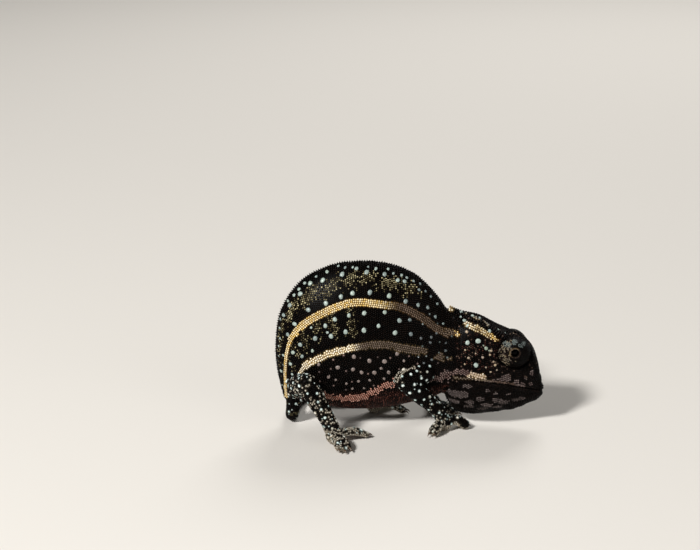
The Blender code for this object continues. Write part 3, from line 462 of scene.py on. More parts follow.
def smooth_line(points, where):
    """Points on the smooth curve through the given ones, where k is the k-th of them."""
    points = np.asarray(points, float)
    if points.ndim == 1:
        points = points[:, None]
    padded = np.vstack([2 * points[0] - points[1], points, 2 * points[-1] - points[-2]])
    where = np.clip(np.asarray(where, float), 0, len(points) - 1)
    first = np.minimum(where.astype(int), len(points) - 2)
    return cubic(*(padded[first + k] for k in range(4)), (where - first)[:, None])


def smooth_rows(rows, where):
    """As smooth_line, but along each row of a table, one place in each row."""
    padded = np.column_stack([2 * rows[:, 0] - rows[:, 1], rows, 2 * rows[:, -1] - rows[:, -2]])
    first = np.clip(where.astype(int), 0, rows.shape[1] - 2)
    row = np.arange(len(rows))
    return cubic(*(padded[row, first + k] for k in range(4)), where - first)


def length_along(line):
    """The length of a line of points up to each of them."""
    return np.concatenate([[0], np.cumsum(np.linalg.norm(np.diff(line, axis=0), axis=1))])


def evenly(values, line, pitch, start=0.0):
    """Each point of a line has a value: the values at places one pitch apart along the line."""
    length = length_along(line)
    return np.interp(np.arange(start, length[-1], pitch), length, values)


def spaced(line, pitch, start=0.0):
    """Points one pitch apart along a line of points."""
    return np.column_stack([evenly(column, line, pitch, start) for column in line.T])


def beside(line, shift):
    """A line in side view, moved square to itself."""
    return line + shift * unit(np.gradient(line, axis=0))[:, ::-1] * (-1, 1)


def trunk_skin(station, angle):
    """The trunk: between its back and belly lines by the cosine of the angle from the back, and
    sideways by half the width times the sine to a power, fuller below the middle."""
    top, bottom = smooth_line(BACK_LINE, station), smooth_line(BELLY_LINE, station)
    width = smooth_line(TRUNK_HALF_WIDTH, station)[:, 0]
    sine, cosine = np.sin(angle), np.cos(angle)
    across = np.sign(sine) * np.abs(sine) ** TRUNK_RIDGE * (1 - TRUNK_BELLY_SHIFT * cosine)
    place = (top + bottom) / 2 + (top - bottom) / 2 * cosine[:, None]
    return np.column_stack([place[:, 0], width * across, place[:, 1]])


def head_skin(station, level):
    """The head: level 0 is its top line and 5 its throat line, and between them the half width is a
    smooth curve through the side crest, temple, cheek and throat. The level's sign is the side."""
    top, bottom = smooth_line(HEAD_TOP, station), smooth_line(HEAD_THROAT, station)
    widths = [smooth_line(row, station)[:, 0] for row in HEAD_HALF_WIDTHS]
    rows = np.column_stack([np.zeros(len(station)), *widths, np.zeros(len(station))])
    depth = np.abs(level)
    drop = smooth_line(HEAD_DROPS, depth)
    place = top + (bottom - top) * drop
    across = np.sign(level) * np.maximum(smooth_rows(rows, depth), 0)
    return np.column_stack([place[:, 0], across, place[:, 1]])


def eye_height(side):
    """The height of the eye's middle on each side: -1 is the right one."""
    return EYE_CENTRE[1] - LEFT_EYE_DROP * (side > 0)


def lid_skin(side, level, angle):
    """An eye turret: rings round the eye's axis, where level k is the k-th of its profile."""
    radius, out, rise = smooth_line(LID_PROFILE, level).T
    x = EYE_CENTRE[0] + radius * TURRET_LENGTHENING * np.cos(angle)
    z = eye_height(side) + rise + radius * np.sin(angle)
    return np.column_stack([x, side * (EYE_ROOT_DEPTH + out), z])


def surface_rings(surface, stations, turns):
    """A table of rings over a surface: at each station, its points at all the turns."""
    points = surface(np.repeat(stations, len(turns)), np.tile(turns, len(stations)))
    return points.reshape(len(stations), len(turns), 3)


def tube(path, radii, sides, flatten=1.0, up=(0, 0, 1)):
    """Rings across a path, as rows of points. Flatten is each ring's thickness over its width."""
    tangent = unit(np.gradient(path, axis=0))
    across = np.cross(tangent[0], up)
    if np.linalg.norm(across) < 1e-6:
        across = np.cross(tangent[0], (0, 1, 0))
    angle = full_turn(sides)[:, None]
    rings = []
    for centre, ahead, radius in zip(path, tangent, radii):
        across = across - ahead * (across @ ahead)
        across /= np.linalg.norm(across)
        high = np.cross(across, ahead)
        rings.append(centre + radius * (np.cos(angle) * across + flatten * np.sin(angle) * high))
    return np.array(rings)


def limb(start, end, radii):
    """A straight limb from joint to joint with round ends. Radii are (share of length, radius)."""
    start, end = np.asarray(start, float), np.asarray(end, float)
    length = np.linalg.norm(end - start)
    shares, sizes = zip(*radii)
    turn = np.linspace(0, np.pi / 2, 6)[:-1]
    first, last = sizes[0], sizes[-1]
    along = np.concatenate([
        -first * np.cos(turn),
        np.linspace(0, length, LIMB_RINGS),
        length + last * np.sin(turn[1:]),
    ])
    body = np.interp(np.linspace(0, 1, LIMB_RINGS), shares, sizes)
    thick = np.concatenate([first * np.sin(turn) + LIMB_TIP_RADIUS, body, last * np.cos(turn[1:])])
    path = start + (end - start) / length * along[:, None]
    return tube(path, thick, TUBE_SIDES, up=(0.3, 0.2, 1.0))


def toe_arch(palm, tip):
    """The middle line of a bundle of toes: straight out from the palm, and down to the floor."""
    forward = np.array([tip[0] - palm[0], tip[1] - palm[1], 0.0])
    rest = SOLE_LEVEL + TOE_RADIUS

    def at(share):
        share = np.atleast_1d(np.asarray(share, float))
        height = rest + (palm[2] + 0.1 - rest) * (1 - share**1.7)
        height += ARCH_RISE * np.sin(np.pi * share) * share
        return palm * (1, 1, 0) + forward * share[:, None] + np.outer(height, (0, 0, 1))

    return at, forward / np.linalg.norm(forward)


def toe_lines(leg, counts):
    """For each toe: its middle line up to the knuckle, and the way ahead of it."""
    palm = np.array(leg[3])
    for tip, toes in zip(leg[4:], counts):
        at, forward = toe_arch(palm, np.array(tip))
        aside = np.array([-forward[1], forward[0], 0.0])
        for k in range(toes):
            off = k - (toes - 1) / 2
            shares = np.linspace(TOE_ROOT, 1.0 - 0.06 * abs(off), 9)
            line = at(shares) + np.outer(off * TOE_SPACING * (0.8 + 0.35 * shares), aside)
            yield line, forward + aside * off * TOE_SPACING * 0.12


def foot_forms(leg, counts):
    """The ball of the foot, the two mittens and the toes."""
    palm = np.array(leg[3])
    turn = np.linspace(0.02, np.pi - 0.02, 12)
    path = palm + np.outer(np.cos(turn), (0, 0, palm[2] - SOLE_LEVEL))
    forms = [tube(path, PALM_RADIUS * np.sin(turn), TUBE_SIDES, up=(1, 0, 0))]
    for tip, toes in zip(leg[4:], counts):
        at, _ = toe_arch(palm, np.array(tip))
        half_width = TOE_SPACING * (toes - 1) / 2 + TOE_RADIUS * 0.85
        shares = np.linspace(0, MITTEN_REACH, 14)
        widths = half_width * np.interp(shares, *MITTEN_SHAPE)
        forms.append(tube(at(shares), widths, TUBE_SIDES, flatten=MITTEN_THICKNESS / half_width))
    for line, _ in toe_lines(leg, counts):
        shares = np.linspace(0, 1, len(line))
        forms.append(tube(line, TOE_RADIUS * np.interp(shares, *TOE_SHAPE), TOE_SIDES))
    return forms


def tail_line():
    """The tail's middle line and thickness: down from its root, and a spiral on the floor whose reach
    from its centre shrinks with the angle."""
    share = np.linspace(0, 1, 160)
    angle = TAIL_TURN_START - share * TAIL_TURN_ANGLE
    reach = TAIL_START_REACH + (TAIL_END_REACH - TAIL_START_REACH) * share**0.92
    reach += TAIL_SWEEP_REACH * np.exp(-share * TAIL_TURN_ANGLE / TAIL_SWEEP_ANGLE)
    rest = TAIL_ROOT_RADIUS - TAIL_SINK
    turn = np.column_stack([
        TAIL_TURN_CENTRE[0] + reach * np.cos(angle),
        TAIL_TURN_CENTRE[1] + reach * np.sin(angle),
        np.full(len(share), rest),
    ])
    drop = [
        TAIL_ROOT,
        (TAIL_ROOT[0], 0.05, TAIL_ROOT[2] - 0.7),
        (TAIL_ROOT[0] - 0.08, 0.45, rest + 0.75),
        (TAIL_ROOT[0] - 0.15, 1.25, rest + 0.22),
    ]
    line = np.vstack([drop, turn[3::6]])
    path = smooth_line(line, np.linspace(0, len(line) - 1, 420))
    along = length_along(path)
    share = along / along[-1]
    radius = TAIL_TIP_RADIUS + (TAIL_ROOT_RADIUS - TAIL_TIP_RADIUS) * (1 - share) ** 0.85
    path[:, 2] += np.clip((share - 0.05) / 0.10, 0, 1) * (radius - TAIL_ROOT_RADIUS)
    return path, radius


# Meshes

def make_mesh(name, points, faces, finish, attributes=(), uv=None):
    """An object of one mesh from a table of points and a table of equal faces, in metres."""
    points = (np.asarray(points) + (0, MIDDLE_PLANE_Y, 0)) * MILLIMETRE
    faces = np.asarray(faces, np.int32)
    sides = faces.shape[1]
    mesh = bpy.data.meshes.new(name)
    mesh.vertices.add(len(points))
    mesh.vertices.foreach_set("co", points.astype(np.float32).ravel())
    mesh.loops.add(faces.size)
    mesh.loops.foreach_set("vertex_index", faces.ravel())
    mesh.polygons.add(len(faces))
    mesh.polygons.foreach_set("loop_start", np.arange(len(faces), dtype=np.int32) * sides)
    mesh.update(calc_edges=True)
    mesh.shade_smooth()
    for key, values in dict(attributes).items():
        layer = mesh.attributes.new(key, "FLOAT", "POINT")
        layer.data.foreach_set("value", np.asarray(values, np.float32))
    if uv is not None:
        layer = mesh.uv_layers.new(name="OFBake")
        layer.data.foreach_set("uv", uv[faces.ravel()].astype(np.float32).ravel())
    mesh.materials.append(finish)
    made = bpy.data.objects.new(name, mesh)
    bpy.context.scene.collection.objects.link(made)
    return made


def dress(piece, slot, *nodes):
    """Puts a piece on the one body and lets it stand for some nodes. The slot is not used."""
    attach(piece, "root")
    if nodes:
        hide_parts(*nodes)


def grid_faces(rows, columns):
    """Quads over a table of points whose rows are rings."""
    row = np.arange(rows - 1)[:, None] * columns
    column = np.arange(columns)[None, :]
    after = (column + 1) % columns
    quads = [row + column, row + after, row + columns + after, row + columns + column]
    return np.stack(quads, axis=-1).reshape(-1, 4)


def closed_tube(rings):
    """Points and triangles of a tube through rings of points, each end closed by a fan round its
    middle. The two middles are the last points."""
    count, sides = rings.shape[:2]
    body = grid_faces(count, sides)
    ring = np.arange(sides)
    after = (ring + 1) % sides
    last, pole = (count - 1) * sides, count * sides
    triangles = np.vstack([
        body[:, [0, 1, 2]],
        body[:, [0, 2, 3]],
        np.column_stack([after, ring, np.full(sides, pole)]),
        np.column_stack([ring + last, after + last, np.full(sides, pole + 1)]),
    ])
    points = np.vstack([rings.reshape(-1, 3), rings[0].mean(axis=0), rings[-1].mean(axis=0)])
    return points, triangles


def joined(parts):
    """One table of points and one of faces from many pairs of them."""
    points, faces, start = [], [], 0
    for table, triangles in parts:
        points.append(table)
        faces.append(triangles + start)
        start += len(table)
    return np.vstack(points), np.vstack(faces)


def fused(forms):
    """One skin over many closed forms, each a table of rings, as points and quads."""
    points, faces = joined(closed_tube(rings) for rings in forms)
    mesh = bpy.data.meshes.new("forms")
    mesh.from_pydata(points.tolist(), [], faces.tolist())
    thing = bpy.data.objects.new("forms", mesh)
    bpy.context.scene.collection.objects.link(thing)
    change = thing.modifiers.new("fuse", "REMESH")
    change.mode = "VOXEL"
    change.voxel_size = VOXEL
    graph = bpy.context.evaluated_depsgraph_get()
    result = bpy.data.meshes.new_from_object(thing.evaluated_get(graph))
    places = np.zeros(len(result.vertices) * 3)
    result.vertices.foreach_get("co", places)
    corners = np.zeros(len(result.loops), np.int32)
    result.loops.foreach_get("vertex_index", corners)
    bpy.data.objects.remove(thing)
    bpy.data.meshes.remove(mesh)
    bpy.data.meshes.remove(result)
    return places.reshape(-1, 3), corners.reshape(-1, 4)


def edges_of(faces):
    """Each edge of a table of quads once, as two points."""
    pairs = np.vstack([faces[:, [k, (k + 1) % 4]] for k in range(4)])
    return np.unique(np.sort(pairs, axis=1), axis=0)


def smoothed(points, edges, rounds, shares=(0.55, -0.57)):
    """Each point moves towards its neighbours' mean and back out, which rounds without shrinking."""
    both = np.vstack([edges, edges[:, ::-1]])
    count = np.bincount(both[:, 0], minlength=len(points))[:, None]
    for _ in range(rounds):
        for share in shares:
            total = [np.bincount(both[:, 0], points[both[:, 1], c], len(points)) for c in range(3)]
            points = points + share * (np.column_stack(total) / count - points)
    return points


def normals_of(points, faces):
    """Each point's way out: the sum of its faces' diagonals' cross products."""
    corners = points[faces]
    cross = np.cross(corners[:, 2] - corners[:, 0], corners[:, 3] - corners[:, 1])
    total = np.column_stack([
        np.bincount(faces.ravel(), np.repeat(cross[:, c], 4), len(points)) for c in range(3)
    ])
    return total / np.maximum(np.linalg.norm(total, axis=1, keepdims=True), 1e-12)


# Places in side view

def from_line(x, z, line):
    """The least distance in side view from a line of points, and the share along it."""
    line = np.asarray(line, float)
    best, share = np.full(len(x), 1e9), np.zeros(len(x))
    for k in range(len(line) - 1):
        a, way = line[k], line[k + 1] - line[k]
        t = np.clip(((x - a[0]) * way[0] + (z - a[1]) * way[1]) / (way @ way), 0, 1)
        gap = np.hypot(x - a[0] - t * way[0], z - a[1] - t * way[1])
        nearer = gap < best
        best[nearer] = gap[nearer]
        share[nearer] = (k + t[nearer]) / (len(line) - 1)
    return best, share


def from_stroke(points, a, b):
    """The distance of each point from the stroke from a to b, and the share along it."""
    a, way = np.asarray(a, float), np.asarray(b, float) - np.asarray(a, float)
    t = np.clip((points - a) @ way / (way @ way), 0, 1)
    return np.linalg.norm(points - a - t[:, None] * way, axis=1), t


def in_ellipse(x, z, patch, rough):
    """True inside an ellipse in side view, its edge roughened by a share for each point."""
    return ((x - patch[0]) / patch[2]) ** 2 + ((z - patch[1]) / patch[3]) ** 2 < 1 + rough


def trunk_place(x, z):
    """Places in side view: the station, the share of the way from back to belly and the height of the
    section there. The station is halved towards: a place lies ahead of a section while its cross
    product with the section is positive."""
    low, high = np.zeros(len(x)), np.full(len(x), LAST_STATION)
    for _ in range(STATION_HALVINGS):
        middle = (low + high) / 2
        top, bottom = smooth_line(BACK_LINE, middle), smooth_line(BELLY_LINE, middle)
        way = bottom - top
        ahead = way[:, 0] * (z - top[:, 1]) - way[:, 1] * (x - top[:, 0]) > 0
        low, high = np.where(ahead, middle, low), np.where(ahead, high, middle)
    share = ((x - top[:, 0]) * way[:, 0] + (z - top[:, 1]) * way[:, 1]) / (way**2).sum(axis=1)
    share = np.clip(share, 0, 1)
    return middle, share, np.linalg.norm(way, axis=1)


def trunk_turn(x, z):
    """Station of places in side view, and their degrees from the back."""
    station, share, _ = trunk_place(x, z)
    return station, np.degrees(np.arccos(1 - 2 * share))


def camera_ways():
    """The way from the animal back to the camera, and the way up in the picture."""
    tilt = math.radians(CAMERA_ELEVATION)
    return Vector((0, -math.cos(tilt), math.sin(tilt))), Vector((0, math.sin(tilt), math.cos(tilt)))


def on_trunk(pixels):
    """The places on the trunk's right flank that the photograph shows at some pixels: where the
    camera's ray through each first meets the trunk."""
    rings = surface_rings(trunk_skin, np.linspace(0, LAST_STATION, 160), full_turn(180))
    faces = grid_faces(*rings.shape[:2])
    trunk = BVHTree.FromPolygons(rings.reshape(-1, 3).tolist(), faces.tolist())
    back, up = camera_ways()
    back *= CAMERA_DISTANCE
    eye = Vector(CAMERA_TARGET) + back
    places = []
    for across, down in pixels:
        aside = Vector(((across - MIDDLE_PIXEL[0]) * PIXEL, 0, 0))
        way = aside + up * (MIDDLE_PIXEL[1] - down) * PIXEL - back
        hit = trunk.ray_cast(eye, way)[0]
        if hit is None:
            hit = trunk.find_nearest(eye + way)[0]
        places.append(tuple(hit))
    return np.array(places)


def mouth_height(x):
    """The height of the mouth's line at each X."""
    line = np.array(MOUTH_LINE)[::-1]
    return np.interp(x, line[:, 0], line[:, 1])


def step(value, none, full):
    """0 at one value and beyond it, 1 at the other, with a smooth rise between them."""
    t = np.clip((value - none) / (full - none), 0, 1)
    return t * t * (3 - 2 * t)


def bump(distance, width):
    """A bell: 1 at no distance, and a third at a width."""
    return np.exp(-((distance / width) ** 2))


def relief(form, distance):
    """How far the skin rises at a distance from the middle of one of its small forms."""
    height, width = RELIEF[form]
    return height * bump(distance, width)


def sculpt(points, normals):
    """Moves the skin's points along their normals: in by the coat's depth, in at the mouth, the eye's
    socket, the nostril, the neck's fold and the temple, and out at the lips, crests and eye rim."""
    x, y, z = points.T
    head = step(x, *HEAD_FOLDS_START)
    sides = np.clip(np.abs(normals[:, 1]) * 1.8, 0, 1)
    below = z - mouth_height(x)
    at_mouth = step(x, *MOUTH_STARTS) * step(np.abs(below), 1.2, 0.8)
    keel = z - np.interp(x, *np.array(HEAD_THROAT).T)
    temple = np.hypot((x - TEMPLE[0]) / TEMPLE[2], (z - TEMPLE[1]) / TEMPLE[3])
    throat_folds = THROAT_FOLD_HEIGHT * np.cos(2 * np.pi * below / THROAT_FOLD_SPACING)
    nose = np.hypot(x - NOSTRIL[0], z - NOSTRIL[1])
    eye = np.hypot((x - EYE_CENTRE[0]) / TURRET_LENGTHENING, z - eye_height(y))
    under_brow = step(z, EYE_CENTRE[1] + 1.3, EYE_CENTRE[1] + 0.1)

    move = np.full(len(points), -COAT_DEPTH)
    move += relief("mouth", below) * at_mouth
    move += relief("lip", np.abs(below) - LIP_FROM_MOUTH) * at_mouth
    move += relief("side_crest", from_line(x, z, SIDE_CREST)[0]) * sides
    move += relief("snout_crest", from_line(x, z, SNOUT_CREST)[0]) * sides
    move += relief("neck_fold", from_line(x, z, NECK_FOLD)[0]) * step(z, 14.6, 13.2)
    move += (SNOUT_FILL - SNOUT_UPPER_FILL * step(z, 3.6, 4.8)) * step(x, 14.9, 16.3)
    move += (THROAT_FILL + CHIN_FILL * step(x, 11.0, 14.5)) * step(x, 5.5, 7.0) * step(keel, 1.0, 0.1)
    move += relief("snout_front", np.hypot(x - SNOUT_FRONT[0], z - SNOUT_FRONT[1]))
    move += relief("brow", np.hypot(x - BROW[0], z - BROW[1]))
    move += relief("temple", temple) * sides
    move += throat_folds * step(below, -0.9, -1.5) * head * sides
    move += (relief("nostril_rim", nose - NOSTRIL_RIM_RADIUS) + relief("nostril", nose)) * sides
    socket_rim = relief("socket_rim", eye - SOCKET_RIM_RADIUS) * under_brow
    move += (socket_rim + relief("socket", eye - SOCKET_RADIUS)) * sides
    made = points + normals * move[:, None]
    made[:, 1] -= np.sign(y) * SOCKET_DEPTH * step(eye, 1.85, 1.5) * sides
    made[:, 2] = np.maximum(made[:, 2], SKIN_CLEARANCE)
    return made


# Which part a place belongs to

def leg_strokes(name):
    """A leg as strokes (start, end, radius)."""
    root, bend, end, palm, outer, inner = (np.array(place, float) for place in LEGS[name])
    radii = [row[0][1] for row in LEG_RADII[name[:4]]]
    strokes = [(root, bend, radii[0]), (bend, end, radii[1]), (end, palm, ANKLE_REACH)]
    for tip in (outer, inner):
        strokes.append((palm, np.append(tip, TOE_STROKE_HEIGHT), TOE_REACH))
    return strokes


def clear_of_trunk(points):
    """True outside the trunk's skin: beyond its outline, or further out than it at that place."""
    x, y, z = points.T
    station, share, _ = trunk_place(x, z)
    skin = trunk_skin(station, np.arccos(1 - 2 * share))
    beyond = np.hypot(skin[:, 0] - x, skin[:, 2] - z) > BEYOND_OUTLINE
    return beyond | (np.abs(y) > np.abs(skin[:, 1]) + BEYOND_FLANK)


def part_of(points, tail):
    """The number of each point's part, and its distance along that part from 0 to 1."""
    x, y, z = points.T
    clear = clear_of_trunk(points)
    part = np.where(x > np.interp(z, *HEAD_STARTS), HEAD, TRUNK)
    along = np.zeros(len(points))
    best = np.full(len(points), LEG_REACH)
    for number, name in LEG_PARTS.items():
        side = -1 if name.endswith("right") else 1
        for k, (start, end, radius) in enumerate(leg_strokes(name)):
            gap, share = from_stroke(points, start, end)
            mine = (gap - radius < best) & (y * side > 0) & clear
            best[mine] = (gap - radius)[mine]
            part[mine] = number
            along[mine] = (min(k, 3) + share[mine]) / 4
    path, radius = (values[::6] for values in tail)
    gap = np.linalg.norm(points[:, None, :] - path[None], axis=2) - radius[None]
    nearest = gap.argmin(axis=1)
    mine = (gap.min(axis=1) < np.minimum(best, TAIL_REACH)) & (z < TAIL_TOP) & clear
    part[mine] = TAIL
    along[mine] = nearest[mine] / gap.shape[1]
    return part, along


class Places:
    """Places on the skin, with all that the rules on markings ask of them. Own is each place's own
    number from 0 to 1, and rough is how far it draws the edge of a marking in or out."""

    def __init__(self, points, outs, tail):
        self.points, self.outs = points, outs
        self.x, self.y, self.z = points.T
        self.part, self.along = part_of(points, tail)
        self.trunk, self.head, self.tail = (self.part == part for part in (TRUNK, HEAD, TAIL))
        self.legs = (self.part > HEAD) & (self.part < TAIL)
        self.station, self.share, self.height = trunk_place(self.x, self.z)
        self.angle = np.degrees(np.arccos(1 - 2 * self.share))
        self.own = rng.random(len(points))
        self.rough = (self.own - 0.5) * ROUGHNESS


def redrawn(own, purpose):
    """Another even draw from own numbers: what follows the point in a multiple of each."""
    return np.modf(own * REDRAWS[purpose])[0]


# Markings: the share of each at each place, by rules on the trunk, head, legs and tail

def stripe_mask(at, line, widths, rough):
    """True within half a stripe's width, in side view, of its smooth middle line."""
    middle = smooth_line(line, np.linspace(0, len(line) - 1, STRIPE_SMOOTHING))
    gap, along = from_line(at.x, at.z, middle)
    return gap < np.interp(along, *widths) + rough


def mark_stripes(at, marks, lines):
    """The gold, cream and rose stripes, the gold and cream dulling to taupe towards the head as painted
    shadow and the rose turning grey, the cream blotch ahead of the second and the rose band over the
    throat."""
    stripes = {
        key: stripe_mask(at, lines[key], STRIPE_HALF_WIDTHS[key], at.rough * ragged) & at.trunk
        for key, ragged in STRIPE_RAGGEDNESS.items()
    }
    hip = (at.x < -14.4) & (at.z > 3.2) & (np.abs(at.y) > 0.35)
    stripes["gold"] |= stripe_mask(at, lines["gold"], STRIPE_HALF_WIDTHS["gold"], 0) & hip
    ahead = (at.station - CREAM_BLOTCH[0]) * STATION_LENGTH
    down = (at.share - CREAM_BLOTCH[1]) * at.height
    stripes["cream"] |= (np.hypot(ahead, down) < BLOTCH_RADIUS + at.rough * 2.2) & at.trunk
    for key, mask in stripes.items():
        marks[key][mask] = 1
    # Painted shadow: ahead, the gold and cream stripes are dulled to taupe.
    for stripe, key, behind, change, start, end in STRIPE_FADES_AND_PAINTED_SHADE:
        mask = stripes[stripe]
        marks[key][mask] = behind + change * step(at.x[mask], start, end)
    band = from_line(at.x, at.z, NECK_ROSE_LINE)[0] < LINE_HALF_WIDTH + at.rough * 1.5
    band &= at.trunk | at.head
    marks["grey"][band] = 1
    marks["rose"][band] = 0.16


def mark_dust(at, marks):
    """Gold dust in oblique wisps along the back and in faint upright columns, and the plum belly."""
    station, angle, own = at.station, at.angle, at.own
    band = bump(angle - np.interp(station, *np.array(GOLD_DUST).T), 8.0)
    band *= step(station, 0.8, 2.0) * step(station, 8.6, 7.6)
    columns = sum(bump(station - middle, 0.17) for middle in DUST_COLUMNS)
    columns *= step(angle, 58, 66) * step(angle, 86, 80)
    wisp = 0.5 + 0.5 * np.sin(station * 9.0 + angle * 0.21 + 1.7 * np.sin(station * 2.3))
    third = redrawn(at.own, "dust")
    bright = (third < 1.35 * band * (0.30 + 0.70 * wisp)) * (0.22 + 0.78 * own**2)
    faint = (third < columns * 0.8) * (0.20 + 0.45 * own**2)
    marks["dust"] = np.where(at.trunk, np.maximum(bright, faint), 0)
    patchy = np.sin(station * 7.1 + 2.2 * np.sin(angle * 0.17)) * np.sin(angle * 0.31 + station)
    plum = step(angle, 128, 140) * (0.35 + 0.65 * own) * (0.75 + 0.25 * patchy)
    marks["plum"] = np.where(at.trunk, plum, 0)


def mark_head(at, marks):
    """The head's gold line and its stub on the neck, the stub's rear part dulled to taupe as painted
    shadow, the beads' ground, the tip and ridge of the helmet, the grey patches of throat and lips, the
    brown cheek and the pale seam of the mouth."""
    x, y, z, head, own = at.x, at.y, at.z, at.head, at.own
    outer = np.abs(y) > 1.0
    gap, share = from_line(x, z, HEAD_GOLD_LINE)
    line = (gap < np.interp(share, *HEAD_LINE_HALF_WIDTHS)) & head & outer
    stub = (from_line(x, z, NECK_GOLD)[0] < LINE_HALF_WIDTH) & (at.trunk | head) & outer
    # Painted shadow: the stub's rear part is dulled to taupe, as the gold stripe is.
    marks["taupe_and_painted_shade"][stub] = 0.94 * step(x[stub], 5.85, 5.65)
    marks["gold"][stub] = 1
    marks["cream"][line] = np.clip(1.05 - share * 1.4, 0, 0.9)[line]
    marks["gold"][line] = 1 - marks["cream"][line]
    beads = in_ellipse(x, z, LIP_CREAM, at.rough) & head
    marks["cream"][beads] = 0.45 + 0.45 * own[beads]
    marks["rose"][beads] = 0.6
    tip = np.hypot(x - CASQUE_TIP[0], z - CASQUE_TIP[1]) < CASQUE_TIP_RADIUS + at.rough
    marks["cream"][tip & (z > 14.6)] = 0.75
    ridge = from_line(x, z, PARIETAL_LINE)[0] < 0.11
    marks["cream"][head & ridge & (own > 0.45)] = 0.36
    for patch in THROAT_PATCHES:
        marks["grey"][in_ellipse(x, z, patch, at.rough * 2 - 0.12) & head] = 1
    above = z - mouth_height(x)
    for patch in LIP_PATCHES:
        inside = in_ellipse(x, z, patch, at.rough * 2) & head & (above > -0.1)
        marks["grey"][inside] = 0.95
        marks["rose"][inside] = 0.05
    second = redrawn(at.own, "cheek")
    cheek = head & (above > 0.5) & (x < 13.5)
    brown = bump(np.hypot((x - CHEEK[0]) / CHEEK[2], (z - CHEEK[1]) / CHEEK[3]), 1.0)
    marks["plum"][cheek] = (brown * (second < 0.20) * (0.2 + 0.5 * own))[cheek]
    marks["taupe_and_painted_shade"][head & (second > 0.955 - 0.12 * brown) & (z > 6.5)] = 0.9
    seam = head & (np.abs(above - 0.30) < 0.14) & (x < 13.4)
    marks["cream"][seam] = (0.75 * step(x, 10.8, 9.2) * (0.5 + 0.5 * own))[seam]
    marks["taupe_and_painted_shade"][seam] = 0.85


def mark_limbs(at, marks):
    """Pale soles, pale scales and granules that grow denser towards the foot and are denser on the hind
    legs, there partly as painted highlight, the pale rim of the elbow on its side towards the light, a
    painted highlight, and the tail's faint rings."""
    hind = np.isin(at.part, HIND_PARTS)
    sole = at.legs & (at.z < 1.15) & (at.outs[:, 2] < -0.25)
    marks["sole"][sole] = 1
    toward_foot = step(at.along, 0.34, 0.62)
    pale = at.legs & ~sole & (redrawn(at.own, "pale") > 0.98 - 0.10 * toward_foot)
    marks["pale"][pale] = 0.75
    # Partly painted highlight: the hind legs get more pale granules, as they catch more light.
    dense = 0.12 * hind + (0.34 + 0.08 * hind) * toward_foot
    granules = at.legs & ~sole & (redrawn(at.own, "granules") > 0.98 - dense)
    marks["sole"][granules] = (0.50 + 0.50 * redrawn(at.own, "shade"))[granules]
    # Painted highlight: scales on the elbow's side towards the light are painted pale.
    painted_elbow_highlight = at.legs & ~hind & (at.along < 0.42) & (at.outs @ ELBOW_LIGHT_WAY > 0.55)
    marks["sole"][painted_elbow_highlight & (redrawn(at.own, "painted_elbow_highlight") > 0.42)] = 0.85
    rings = np.clip(np.sin(at.along * 150) - 0.4, 0, 1) * (at.own > 0.5) * 0.9
    marks["dust"][at.tail] = rings[at.tail]
    marks["pale"][at.tail & (redrawn(at.own, "pale") > 0.965)] = 0.7


def no_marks(count):
    """No share of any marking, at so many places."""
    return {key: np.zeros(count) for key in MARKS}


def markings(at, lines):
    """The share of each marking at each place."""
    marks = no_marks(len(at.x))
    mark_stripes(at, marks, lines)
    mark_dust(at, marks)
    mark_head(at, marks)
    mark_limbs(at, marks)
    return marks


# Spreading the scales

def close_pairs(places, reach):
    """Pairs of places nearer than reach. Places are sorted into cubes of that size, and each is
    compared with those of its own cube and of half of the 26 round it."""
    cell = np.floor((places - places.min(axis=0)) / reach).astype(np.int64) + 1
    size = cell.max(axis=0) + 2
    key = (cell[:, 0] * size[1] + cell[:, 1]) * size[2] + cell[:, 2]
    order = np.argsort(key, kind="stable")
    ranked = key[order]
    steps = [(i, j, k) for i in (-1, 0, 1) for j in (-1, 0, 1) for k in (-1, 0, 1)]
    firsts, seconds = [], []
    for i, j, k in steps[13:]:
        shift = (i * size[1] + j) * size[2] + k
        start = np.searchsorted(ranked, key + shift, "left")
        count = np.searchsorted(ranked, key + shift, "right") - start
        first = np.repeat(np.arange(len(places)), count)
        offset = np.arange(count.sum()) - np.repeat(np.cumsum(count) - count, count)
        second = order[np.repeat(start, count) + offset]
        near = ((places[first] - places[second]) ** 2).sum(axis=1) < reach**2
        if shift == 0:
            near &= first < second
        firsts.append(first[near])
        seconds.append(second[near])
    first, second = np.concatenate(firsts), np.concatenate(seconds)
    return np.minimum(first, second), np.maximum(first, second)


def pair_gaps(places, pairs):
    """The way from the first to the second place of each pair, and its length."""
    ways = places[pairs[1]] - places[pairs[0]]
    return ways, np.linalg.norm(ways, axis=1)


def thin_out(places, pitch, rank, share=0.80):
    """Keeps places at least a share of their pitch apart, those of low rank before the others."""
    order = np.argsort(rank, kind="stable")
    back = np.empty(len(order), int)
    back[order] = np.arange(len(order))
    first, second = close_pairs(places[order], pitch.max() * share)
    size = pitch[order]
    _, gap = pair_gaps(places[order], (first, second))
    near = gap < share * (size[first] + size[second]) / 2
    first, second = first[near], second[near]
    waiting = np.ones(len(order), bool)
    kept = np.zeros(len(order), bool)
    while waiting.any():
        blocked = np.zeros(len(order), bool)
        blocked[second[waiting[first] & waiting[second]]] = True
        fresh = waiting & ~blocked
        kept |= fresh
        waiting &= ~fresh
        waiting[second[kept[first]]] = False
        live = waiting[first] | waiting[second]
        first, second = first[live], second[live]
    return kept[back]


